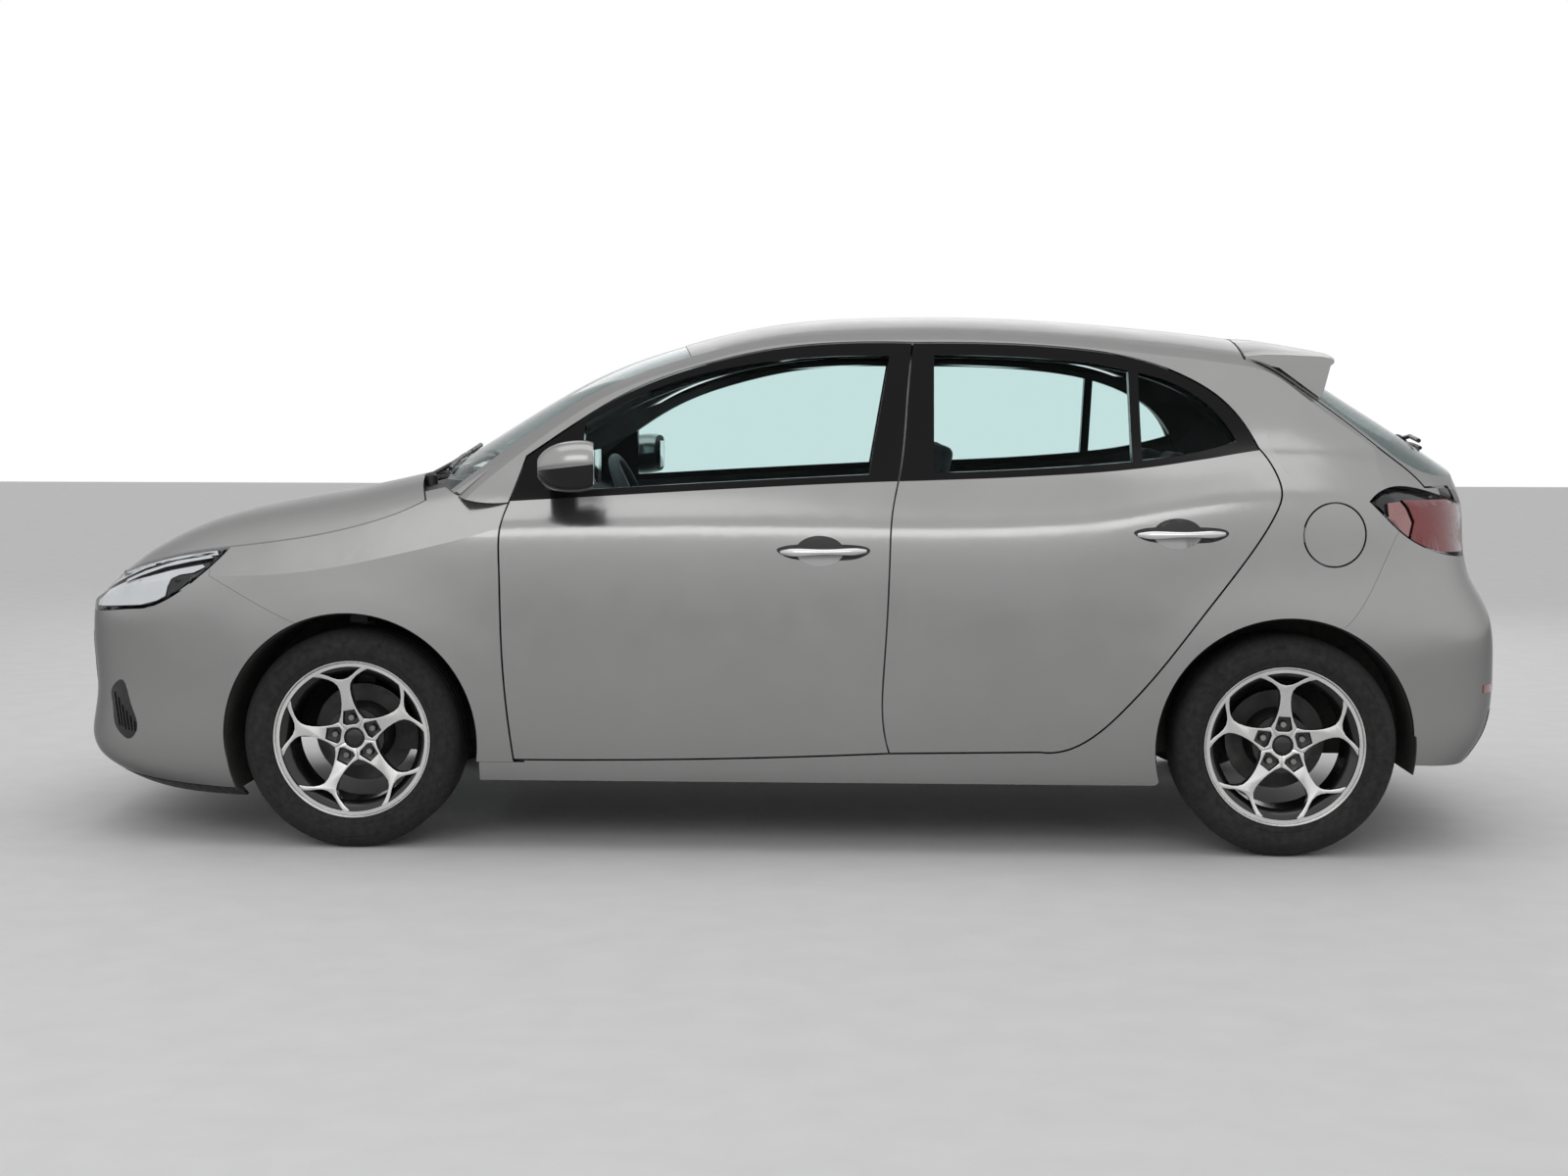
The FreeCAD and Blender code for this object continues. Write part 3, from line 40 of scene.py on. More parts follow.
FRONT_AXLE = 1.186
REAR_AXLE = -1.384
HUB_Z = 0.305
WHEEL_Y = 0.760
FRONT_TWIST = 9.6
REAR_TWIST = -2.0
RIM_HALF = 0.088
SPOKES = 5
GUARD_RADIUS = 0.3545
GUARD_STEPS = 12
LAMP_INNER = 0.35
RIBS = 6
SPOILER_HALF = 0.562
SPOILER_FRONT_X = -1.292
REAR_GLASS_LEAN = 32
WIPER_X = 0.968
SEAT_X = -0.130
SEAT_Y = 0.365
SEAT_LEAN = -14
BENCH_PIVOT = (-0.930, 0, 0.455)
BENCH_LEAN = -20
FLOOR_SIZE = 60.0

# A full turn in radians
TURN = 2 * math.pi

# The camera as fitted to the photo, and the studio
CAMERA_SPOT = (-0.2433, 6.7748, 1.2125)
CAMERA_YAW = 2.2126
CAMERA_PITCH = 4.6166
CAMERA_ROLL = 0.1361
CAMERA_LENS = 49.91
FILL_STRENGTH = 0.50
WHITE_STRENGTH = 1.0
OVERHEAD_POWER = 40
SIDE_POWER = 58
GLASS_GLOSS = 0.02


# Materials

class Paint:
    """A node tree with short helpers."""

    def __init__(self, name):
        self.mat = bpy.data.materials.new(name)
        self.mat.use_nodes = True
        self.tree = self.mat.node_tree
        self.shader = self.tree.nodes["Principled BSDF"]
        self.coord = self.tree.nodes.new("ShaderNodeTexCoord")
        self.place = self.coord.outputs["Object"]
        self.facing = self.coord.outputs["Normal"]

    def node(self, kind, **values):
        made = self.tree.nodes.new(kind)
        for key, value in values.items():
            setattr(made, key, value)
        return made

    def link(self, source, target):
        self.tree.links.new(source, target)

    def math(self, operation, first, second=None):
        made = self.node("ShaderNodeMath", operation=operation)
        for slot, value in enumerate((first, second)):
            if value is None:
                continue
            if isinstance(value, (int, float)):
                made.inputs[slot].default_value = value
            else:
                self.link(value, made.inputs[slot])
        return made.outputs[0]

    def axes(self, source):
        split = self.node("ShaderNodeSeparateXYZ")
        self.link(source, split.inputs[0])
        return split.outputs

    def noise(self, scale, detail=3.0, rough=0.5):
        made = self.node("ShaderNodeTexNoise")
        made.inputs["Scale"].default_value = scale
        made.inputs["Detail"].default_value = detail
        made.inputs["Roughness"].default_value = rough
        self.link(self.place, made.inputs["Vector"])
        return made.outputs["Fac"]

    def ramp(self, source, low, high, at=(0.3, 0.7)):
        made = self.node("ShaderNodeValToRGB")
        made.color_ramp.elements[0].position, made.color_ramp.elements[1].position = at
        made.color_ramp.elements[0].color = (*low, 1.0)
        made.color_ramp.elements[1].color = (*high, 1.0)
        self.link(source, made.inputs[0])
        return made.outputs[0]

    def mix(self, share, first, second):
        made = self.node("ShaderNodeMix", data_type="RGBA")
        for slot, value in ((0, share), (6, first), (7, second)):
            if isinstance(value, (int, float)):
                made.inputs[slot].default_value = value
            elif isinstance(value, tuple):
                made.inputs[slot].default_value = (*value, 1.0)
            else:
                self.link(value, made.inputs[slot])
        return made.outputs[2]

    def span(self, source, a, b, c, d):
        made = self.node("ShaderNodeMapRange")
        self.link(source, made.inputs[0])
        for slot, value in zip(range(1, 5), (a, b, c, d)):
            made.inputs[slot].default_value = value
        return made.outputs[0]

    def bump(self, height, strength, distance=0.001):
        made = self.node("ShaderNodeBump")
        made.inputs["Strength"].default_value = strength
        made.inputs["Distance"].default_value = distance
        self.link(height, made.inputs["Height"])
        self.link(made.outputs[0], self.shader.inputs["Normal"])

    def set(self, **values):
        for key, value in values.items():
            socket = self.shader.inputs[key.replace("_", " ")]
            if isinstance(value, tuple):
                socket.default_value = (*value, 1.0)
            elif isinstance(value, (int, float)):
                socket.default_value = value
            else:
                self.link(value, socket)


def plain(name, low, high, rough=0.5, metal=0.0, grain=900.0, strength=0.15, coat=0.0, spread=0.12):
    """A surface with soft colour variation, fine grain and uneven roughness."""
    paint = Paint(name)
    paint.set(Base_Color=paint.ramp(paint.noise(7.0, 4.0), low, high))
    smoothest, roughest = max(rough - spread, 0.02), min(rough + spread, 1.0)
    paint.set(Roughness=paint.span(paint.noise(60.0, 4.0), 0.3, 0.7, smoothest, roughest))
    paint.set(Metallic=metal, Coat_Weight=coat)
    paint.bump(paint.noise(grain, 2.0), strength, 0.0005)
    return paint.mat


# The windows' lower line as (x, z): the door frames above it are black
BELT_BACK = -1.60
BELT_FRONT = 1.00
BELT = [(BELT_BACK, 1.140), (-1.314, 1.112), (-1.150, 1.086), (-0.967, 1.060), (-0.700, 1.040),
        (-0.424, 1.028), (-0.245, 1.022), (0.150, 1.002), (0.556, 0.978), (0.762, 0.966),
        (BELT_FRONT, 0.952)]


def silver(name, inner, belt=False):
    """Silver clear-coated paint outside; dark lining on faces that look inward."""
    paint = Paint(name)
    flake = paint.ramp(paint.noise(26.0, 2.0), (0.330, 0.330, 0.328), (0.344, 0.344, 0.342), (0.2, 0.8))
    soft = paint.ramp(paint.noise(2.2, 3.0), (0.320, 0.320, 0.316), (0.354, 0.354, 0.350))
    bright_coat = paint.mix(0.5, flake, soft)
    x, y, z = paint.axes(paint.place)
    nx, ny, nz = paint.axes(paint.facing)
    outward = paint.math("MULTIPLY", ny, paint.math("SIGN", y))
    tests = []
    for axis, sign, limit in inner:
        source = {"x": nx, "y": ny, "z": nz, "out": outward}[axis]
        source = source if sign > 0 else paint.math("MULTIPLY", source, -1.0)
        tests.append(paint.math("GREATER_THAN", source, limit))
    lining = tests[0]
    for test in tests[1:]:
        lining = paint.math("MAXIMUM", lining, test)
    dust = paint.ramp(paint.noise(14.0, 5.0), (0.022, 0.022, 0.024), (0.045, 0.044, 0.044))
    dark = lining
    if belt:
        curve = paint.node("ShaderNodeFloatCurve")
        points = curve.mapping.curves[0].points
        while len(points) > 2:
            points.remove(points[1])
        spots = [((px - BELT_BACK) / (BELT_FRONT - BELT_BACK), pz - 0.5) for px, pz in BELT]
        points[0].location = spots[0]
        points[1].location = spots[-1]
        for spot in spots[1:-1]:
            points.new(*spot)
        curve.mapping.update()
        paint.link(paint.span(x, BELT_BACK, BELT_FRONT, 0.0, 1.0), curve.inputs["Value"])
        line = paint.math("ADD", curve.outputs[0], 0.5)
        above = paint.math("GREATER_THAN", z, line)
        dark = paint.math("MAXIMUM", lining, above)
        dust = paint.mix(above, dust, (0.012, 0.012, 0.013))
    paint.set(Base_Color=paint.mix(dark, bright_coat, dust))
    paint.set(Metallic=paint.math("MULTIPLY", paint.math("SUBTRACT", 1.0, dark), 0.90))
    uneven = paint.span(paint.noise(9.0, 2.0), 0.3, 0.7, 0.21, 0.26)
    paint.set(Roughness=paint.math("ADD", uneven, paint.math("MULTIPLY", lining, 0.35)))
    bright = paint.math("SUBTRACT", 1.0, dark)
    paint.set(Coat_Weight=paint.math("MULTIPLY", bright, 0.12), Coat_Roughness=0.06)
    paint.set(Specular_Tint=(0.42, 0.42, 0.42))
    paint.set(Specular_IOR_Level=paint.span(bright, 0.0, 1.0, 0.16, 0.5))
    return paint


def body_paint(name, inner, belt=False):
    """The silver paint as a finished material."""
    return silver(name, inner, belt).mat


def clear(name, tint, density):
    """Thin clear pane or cover: light goes straight through, with reflections on top."""
    paint = Paint(name)
    tree = paint.tree
    out = [n for n in tree.nodes if n.type == "OUTPUT_MATERIAL"][0]
    through = paint.node("ShaderNodeBsdfTransparent")
    through.inputs[0].default_value = (*tint, 1.0)
    uneven = paint.span(paint.noise(8.0), 0.3, 0.7, GLASS_GLOSS, GLASS_GLOSS + 0.03)
    paint.set(Base_Color=(0.02, 0.022, 0.022), Roughness=uneven)
    edge = paint.node("ShaderNodeLayerWeight")
    edge.inputs["Blend"].default_value = 0.5
    slant = paint.math("MULTIPLY", paint.math("POWER", edge.outputs["Facing"], 5.0), 0.90)
    share = paint.math("MINIMUM", paint.math("ADD", slant, density + 0.02), 1.0)
    blend = paint.node("ShaderNodeMixShader")
    paint.link(share, blend.inputs[0])
    paint.link(through.outputs[0], blend.inputs[1])
    paint.link(paint.shader.outputs[0], blend.inputs[2])
    paint.link(blend.outputs[0], out.inputs[0])
    return paint.mat


def woven(name, low, high):
    """Cloth with a fine weave, for the seats."""
    paint = Paint(name)
    x, y, z = paint.axes(paint.place)
    threads = paint.math("ADD", paint.math("SINE", paint.math("MULTIPLY", y, 3900.0)),
                         paint.math("SINE", paint.math("MULTIPLY", paint.math("ADD", z, x), 3900.0)))
    tone = paint.math("ADD", paint.math("MULTIPLY", threads, 0.12), paint.noise(30.0, 5.0))
    paint.set(Base_Color=paint.ramp(tone, low, high), Roughness=0.92, Sheen_Weight=0.35)
    paint.bump(threads, 0.4, 0.0006)
    return paint.mat


silver_side = body_paint("silver_side", [("out", -1, 0.15)])
silver_door = body_paint("silver_door", [("out", -1, 0.15)], True)
silver_front = body_paint("silver_front", [("x", -1, 0.45)])
silver_rear = body_paint("silver_rear", [("x", 1, 0.35)])
silver_top = body_paint("silver_top", [("z", -1, 0.25)])
gloss_black = plain("gloss_black", (0.005, 0.005, 0.006), (0.010, 0.010, 0.011),
                    rough=0.18, grain=300.0, strength=0.01, coat=0.25, spread=0.05)
satin_black = plain("satin_black", (0.006, 0.006, 0.0065), (0.013, 0.013, 0.0135),
                    rough=0.45, strength=0.06)
soft_black = plain("soft_black", (0.018, 0.018, 0.020), (0.036, 0.036, 0.038),
                   rough=0.62, grain=700.0, strength=0.45)
underside = plain("underside", (0.015, 0.015, 0.015), (0.045, 0.042, 0.038),
                  rough=0.85, grain=120.0, strength=0.5)
cast = plain("cast", (0.20, 0.19, 0.18), (0.36, 0.35, 0.33),
             rough=0.55, metal=0.9, grain=260.0, strength=0.5)
dark_steel = plain("dark_steel", (0.03, 0.03, 0.03), (0.07, 0.065, 0.06),
                   rough=0.6, metal=0.5, grain=200.0, strength=0.35)
chrome = plain("chrome", (0.72, 0.73, 0.74), (0.86, 0.87, 0.88),
               rough=0.10, metal=1.0, grain=200.0, strength=0.01, spread=0.04)
lamp_silver = plain("lamp_silver", (0.80, 0.81, 0.82), (0.92, 0.93, 0.94),
                    rough=0.20, metal=0.15, grain=300.0, strength=0.02, coat=0.4, spread=0.05)
satin_chrome = plain("satin_chrome", (0.60, 0.60, 0.60), (0.72, 0.72, 0.72),
                     rough=0.24, metal=1.0, grain=200.0, strength=0.01, spread=0.03)
machined = plain("machined", (0.62, 0.62, 0.62), (0.76, 0.76, 0.75),
                 rough=0.24, metal=0.85, grain=1200.0, strength=0.02, coat=0.4, spread=0.05)
brake_iron = plain("brake_iron", (0.035, 0.034, 0.034), (0.085, 0.082, 0.080),
                   rough=0.45, metal=0.7, grain=700.0)
tread_rubber = plain("tread_rubber", (0.006, 0.006, 0.006), (0.014, 0.0135, 0.013),
                     rough=0.80, grain=500.0, strength=0.3)
pane_glass = clear("pane_glass", (0.895, 0.966, 0.963), density=0.02)
lamp_glass = clear("lamp_glass", (0.97, 0.98, 0.99), density=0.03)
lamp_red = plain("lamp_red", (0.18, 0.005, 0.008), (0.28, 0.008, 0.012),
                 rough=0.22, grain=400.0, strength=0.05, coat=0.6)
lamp_pink = plain("lamp_pink", (0.34, 0.14, 0.14), (0.46, 0.23, 0.22),
                  rough=0.2, metal=0.3, grain=400.0, strength=0.05, coat=0.6)
silver_plain = body_paint("silver_plain", [("z", -1, 2.0)])
seat_cloth = woven("seat_cloth", (0.020, 0.020, 0.022), (0.060, 0.060, 0.064))

# Cast wheel of the solids: bright where it faces outward, black inside
wheel_paint = Paint("wheel_paint")
outward = wheel_paint.axes(wheel_paint.facing)[1]
front_face = wheel_paint.math("GREATER_THAN", wheel_paint.math("ABSOLUTE", outward), 0.85)
wheel_paint.set(Base_Color=wheel_paint.mix(front_face, (0.010, 0.010, 0.011), (0.66, 0.67, 0.68)))
wheel_paint.set(Metallic=front_face, Roughness=0.24, Coat_Weight=0.5)
wheel_paint.bump(wheel_paint.noise(900.0), 0.05, 0.0003)


def two_tone(name):
    """Mirror housing: silver above its split line, black below."""
    paint = silver(name, [("x", -1, 0.93)])
    x, _, z = paint.axes(paint.place)
    line = paint.math("ADD", paint.math("MULTIPLY", x, -0.1145), 1.1298)
    below = paint.math("LESS_THAN", z, line)
    colour = paint.shader.inputs["Base Color"].links[0].from_socket
    paint.set(Base_Color=paint.mix(below, colour, (0.012, 0.012, 0.013)))
    metal = paint.shader.inputs["Metallic"].links[0].from_socket
    paint.set(Metallic=paint.math("MULTIPLY", metal, paint.math("SUBTRACT", 1.0, below)))
    return paint.mat


mirror_paint = two_tone("mirror_paint")

LOOKS = {
    "body_sides": silver_side, "front_fenders": silver_side, "front_bumper": silver_front,
    "rear_bumper": silver_rear, "roof_panel": silver_top, "bonnet": silver_top, "tailgate": silver_rear,
    "fuel_flap": silver_side, "floor_pan": underside, "wheel_liners": underside, "grille": satin_black,
    "cowl": soft_black, "dashboard": soft_black, "steering_wheel": soft_black, "headlamps": lamp_glass,
    "tail_lamps": lamp_glass, "windscreen": pane_glass, "tailgate_glass": pane_glass, "engine_block": cast,
    "front_subframe": dark_steel, "rear_axle": dark_steel, "exhaust": brake_iron, "fuel_tank": dark_steel,
    "front_seats": seat_cloth, "rear_seat": seat_cloth,
}
for side in ("left", "right"):
    LOOKS["door_front_" + side] = LOOKS["door_rear_" + side] = silver_door
    LOOKS["window_front_" + side] = LOOKS["window_rear_" + side] = pane_glass
    LOOKS["mirror_" + side] = mirror_paint
    LOOKS["knuckle_" + side] = soft_black
    for end in ("front", "rear"):
        LOOKS["wheel_%s_%s" % (end, side)] = wheel_paint.mat
        LOOKS["tyre_%s_%s" % (end, side)] = tread_rubber
for name, look in LOOKS.items():
    mesh = nodes[name].data
    mesh.materials.clear()
    mesh.materials.append(look)


# Making pieces

def bare():
    """Object mode with nothing selected."""
    if bpy.context.object and bpy.context.object.mode != "OBJECT":
        bpy.ops.object.mode_set(mode="OBJECT")
    bpy.ops.object.select_all(action="DESELECT")


def settle(obj, name, look, body, smooth=35.0):
    """Applies the object's place to its mesh, names it and lets it ride."""
    bare()
    bpy.context.view_layer.objects.active = obj
    obj.select_set(True)
    bpy.ops.object.transform_apply(location=True, rotation=True, scale=True)
    for modifier in list(obj.modifiers):
        bpy.ops.object.modifier_apply(modifier=modifier.name)
    bpy.ops.object.shade_smooth_by_angle(angle=math.radians(smooth))
    obj.name = name
    obj.data.name = name
    obj.data.materials.clear()
    obj.data.materials.append(look)
    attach(obj, body)
    return obj


def block(low, high, round_by=0.0, segments=2):
    """A cube drawn between two corners with rounded edges."""
    bare()
    middle = [(a + b) / 2 for a, b in zip(low, high)]
    bpy.ops.mesh.primitive_cube_add(size=1.0, location=middle)
    obj = bpy.context.object
    obj.scale = [b - a for a, b in zip(low, high)]
    bpy.ops.object.transform_apply(location=True, rotation=True, scale=True)
    if round_by:
        bpy.ops.object.mode_set(mode="EDIT")
        bpy.ops.mesh.select_all(action="SELECT")
        bpy.ops.mesh.bevel(offset=round_by, segments=segments, affect="EDGES")
        bpy.ops.object.mode_set(mode="OBJECT")
    return obj


def tube(points, radius):
    """A round bar along a curve, made mesh."""
    bare()
    curve = bpy.data.curves.new("bar", "CURVE")
    curve.dimensions = "3D"
    spline = curve.splines.new("POLY")
    spline.points.add(len(points) - 1)
    for point, spot in zip(spline.points, points):
        point.co = (*spot, 1.0)
    curve.bevel_depth = radius
    curve.bevel_resolution = 3
    curve.use_fill_caps = True
    obj = bpy.data.objects.new("bar", curve)
    bpy.context.scene.collection.objects.link(obj)
    bpy.context.view_layer.objects.active = obj
    obj.select_set(True)
    bpy.ops.object.convert(target="MESH")
    return bpy.context.object


def turned(profile, steps):
    """A profile of (radius, along) points spun about the axle line."""
    bare()
    mesh = bpy.data.meshes.new("turned")
    mesh.from_pydata([(r, a, 0.0) for r, a in profile], [(i, i + 1) for i in range(len(profile) - 1)], [])
    obj = bpy.data.objects.new("turned", mesh)
    bpy.context.scene.collection.objects.link(obj)
    bpy.context.view_layer.objects.active = obj
    obj.select_set(True)
    bpy.ops.object.mode_set(mode="EDIT")
    bpy.ops.mesh.select_all(action="SELECT")
    bpy.ops.mesh.spin(steps=steps, angle=TURN, center=(0, 0, 0), axis=(0, 1, 0))
    bpy.ops.mesh.select_all(action="SELECT")
    bpy.ops.mesh.remove_doubles(threshold=0.00005)
    bpy.ops.mesh.normals_make_consistent(inside=False)
    bpy.ops.object.mode_set(mode="OBJECT")
    return obj


def plate(outline, depth, way, round_by=0.0):
    """A flat outline given as 3-D points, extruded by depth along way."""
    bare()
    mesh = bpy.data.meshes.new("plate")
    mesh.from_pydata([tuple(p) for p in outline], [], [tuple(range(len(outline)))])
    obj = bpy.data.objects.new("plate", mesh)
    bpy.context.scene.collection.objects.link(obj)
    bpy.context.view_layer.objects.active = obj
    obj.select_set(True)
    bpy.ops.object.mode_set(mode="EDIT")
    bpy.ops.mesh.select_all(action="SELECT")
    bpy.ops.mesh.extrude_region_move(TRANSFORM_OT_translate={"value": [c * depth for c in way]})
    bpy.ops.mesh.select_all(action="SELECT")
    bpy.ops.mesh.normals_make_consistent(inside=False)
    if round_by:
        bpy.ops.mesh.bevel(offset=round_by, segments=2, affect="EDGES")
    bpy.ops.object.mode_set(mode="OBJECT")
    return obj


def join(objects):
    """Several meshes as one object, which takes the first one's name."""
    bare()
    for obj in objects:
        obj.select_set(True)
    bpy.context.view_layer.objects.active = objects[0]
    bpy.ops.object.join()
    return bpy.context.object


def turn_about(obj, angle):
    """Turns a mesh about the axle line."""
    obj.data.transform(Matrix.Rotation(angle, 4, "Y"))
    return obj


def move(obj, spot):
    """Moves a mesh from the origin to its place."""
    obj.data.transform(Matrix.Translation(spot))
    return obj


def carve_out(obj, tool, operation="DIFFERENCE"):
    """Cuts the tool out of the piece, or keeps what both share.

    Where nothing is left because the walls cross, the slower way is taken.
    """
    bare()
    whole = obj.data.copy()
    for crossing in (False, True):
        cut = obj.modifiers.new("cut", "BOOLEAN")
        cut.operation, cut.object, cut.solver, cut.use_self = operation, tool, "EXACT", crossing
        bpy.context.view_layer.objects.active = obj
        bpy.ops.object.modifier_apply(modifier="cut")
        if obj.data.polygons:
            break
        obj.data = whole
    bpy.data.objects.remove(tool)
    return obj


def skin_of(node, proud):
    """A merged copy of a CAD piece, swollen or shrunk a little."""
    bare()
    obj = bpy.data.objects.new("skin", nodes[node].data.copy())
    bpy.context.scene.collection.objects.link(obj)
    bpy.context.view_layer.objects.active = obj
    obj.select_set(True)
    bpy.ops.object.mode_set(mode="EDIT")
    bpy.ops.mesh.select_all(action="SELECT")
    bpy.ops.mesh.remove_doubles(threshold=0.00002)
    bpy.ops.object.mode_set(mode="OBJECT")
    swell = obj.modifiers.new("swell", "DISPLACE")
    swell.strength, swell.mid_level = proud, 0.0
    bpy.ops.object.modifier_apply(modifier="swell")
    return obj


def smooth_line(points, steps):
    """A closed outline rounded through its points."""
    made = []
    count = len(points)
    for i in range(count):
        p0, p1, p2, p3 = (points[(i + k) % count] for k in (-1, 0, 1, 2))
        for s in range(steps):
            u = s / steps
            made.append(tuple(
                0.5 * (2 * b + (c - a) * u + (2 * a - 5 * b + 4 * c - d) * u * u
                       + (3 * b - a - 3 * c + d) * u ** 3)
                for a, b, c, d in zip(p0, p1, p2, p3)))
    return made


def side_tool(outline, inner):
    """A side-view outline as a bar across the left half of the car."""
    outer = 1.10
    return plate([(x, outer, z) for x, z in outline], outer - inner, (0, -1, 0))


def patch(node, outline, proud, inner=0.3):
    """The part of a panel's skin that lies inside a side-view outline."""
    return carve_out(skin_of(node, proud), side_tool(outline, inner), "INTERSECT")


def skin_y(node, x, z):
    """How far out the left side of a panel stands at a place."""
    found, spot, _, _ = nodes[node].ray_cast(Vector((x, 1.5, z)), Vector((0, -1, 0)))
    return spot.y if found else 0.88


def skin_z(node, x, y):
    """How high the top of a panel stands at a place."""
    found, spot, _, _ = nodes[node].ray_cast(Vector((x, y, 2.5)), Vector((0, 0, -1)))
    return spot.z if found else 1.0


def flip(obj):
    """The same piece on the right side."""
    bare()
    twin = obj.copy()
    twin.data = obj.data.copy()
    bpy.context.scene.collection.objects.link(twin)
    twin.data.transform(Matrix.Scale(-1, 4, (0, 1, 0)))
    twin.data.flip_normals()
    return twin


def pair(obj, name, look, body, smooth=35.0):
    """Settles a left piece and its right twin on their own bodies."""
    twin = flip(obj)
    settle(obj, name + "_left", look, body % "left" if "%s" in body else body, smooth)
    settle(twin, name + "_right", look, body % "right" if "%s" in body else body, smooth)


# Wheels and tyres

def tyre_mesh():
    """Tyre with four grooves, rounded shoulders and a ribbed wall."""
    half = [
        (0.2205, 0.0817), (0.2215, 0.0857), (0.2300, 0.0905), (0.2345, 0.0930), (0.2352, 0.0922),
        (0.2400, 0.0935), (0.2408, 0.0946), (0.2520, 0.0968), (0.2620, 0.0974), (0.2700, 0.0966),
        (0.2708, 0.0955), (0.2760, 0.0944), (0.2768, 0.0950), (0.2840, 0.0920), (0.2920, 0.0868),
        (0.2980, 0.0810), (0.3025, 0.0740), (0.3046, 0.0665), (0.3048, 0.0560), (0.2975, 0.0550),
        (0.2975, 0.0470), (0.3048, 0.0460), (0.3049, 0.0200), (0.2975, 0.0190), (0.2975, 0.0100),
        (0.3049, 0.0090),
    ]
    loop = half + [(r, -a) for r, a in reversed(half)]
    loop = [(0.2036, 0.0816)] + loop + [(0.2036, -0.0816), (0.2036, 0.0816)]
    return turned(loop, steps=90)


def spoke_mesh(angle):
    """One Y spoke with its share of the hub, a bolt pocket and two arms that reach the rim."""
    side = [(0.0359, 0.0494), (0.0310, 0.0575), (0.0262, 0.0660), (0.0212, 0.0810), (0.0170, 0.0980),
            (0.0146, 0.1180), (0.0148, 0.1370), (0.0185, 0.1520), (0.0270, 0.1630), (0.0400, 0.1725),
            (0.0600, 0.1815), (0.0850, 0.1885), (0.0650, 0.1975)]
    crotch = [(0.0620, 0.1950), (0.0450, 0.1868), (0.0290, 0.1765), (0.0150, 0.1695), (0.0, 0.1668)]
    root = [(0.0, 0.0290), (0.0100, 0.0273), (0.0172, 0.0237)]
    half = root + side + crotch
    outline = half + [(-a, b) for a, b in reversed(half[1:-1])]
    obj = plate([(a, 0.061, b) for a, b in outline], depth=0.030, way=(0, -1, 0))
    pocket = [(0.0145, 0.0375), (0.0238, 0.0440), (0.0215, 0.0560), (0.0158, 0.0790)]
    pocket = pocket + [(-a, b) for a, b in reversed(pocket)]
    tool = plate([(a, 0.080, b) for a, b in pocket], depth=0.037, way=(0, -1, 0), round_by=0.0012)
    carve_out(obj, tool)
    edge = obj.modifiers.new("edge", "BEVEL")
    edge.width, edge.segments, edge.limit_method, edge.angle_limit = 0.0014, 2, "ANGLE", math.radians(50)
    bare()
    bpy.context.view_layer.objects.active = obj
    bpy.ops.object.modifier_apply(modifier="edge")
    for vertex in obj.data.vertices:
        reach = math.hypot(vertex.co.x, vertex.co.z)
        vertex.co.y -= 0.010 * max(0.0, 1 - reach / 0.16) ** 1.5
        vertex.co.y += 0.010 * max(0.0, (reach - 0.13) / 0.075) ** 2
    return turn_about(obj, angle)


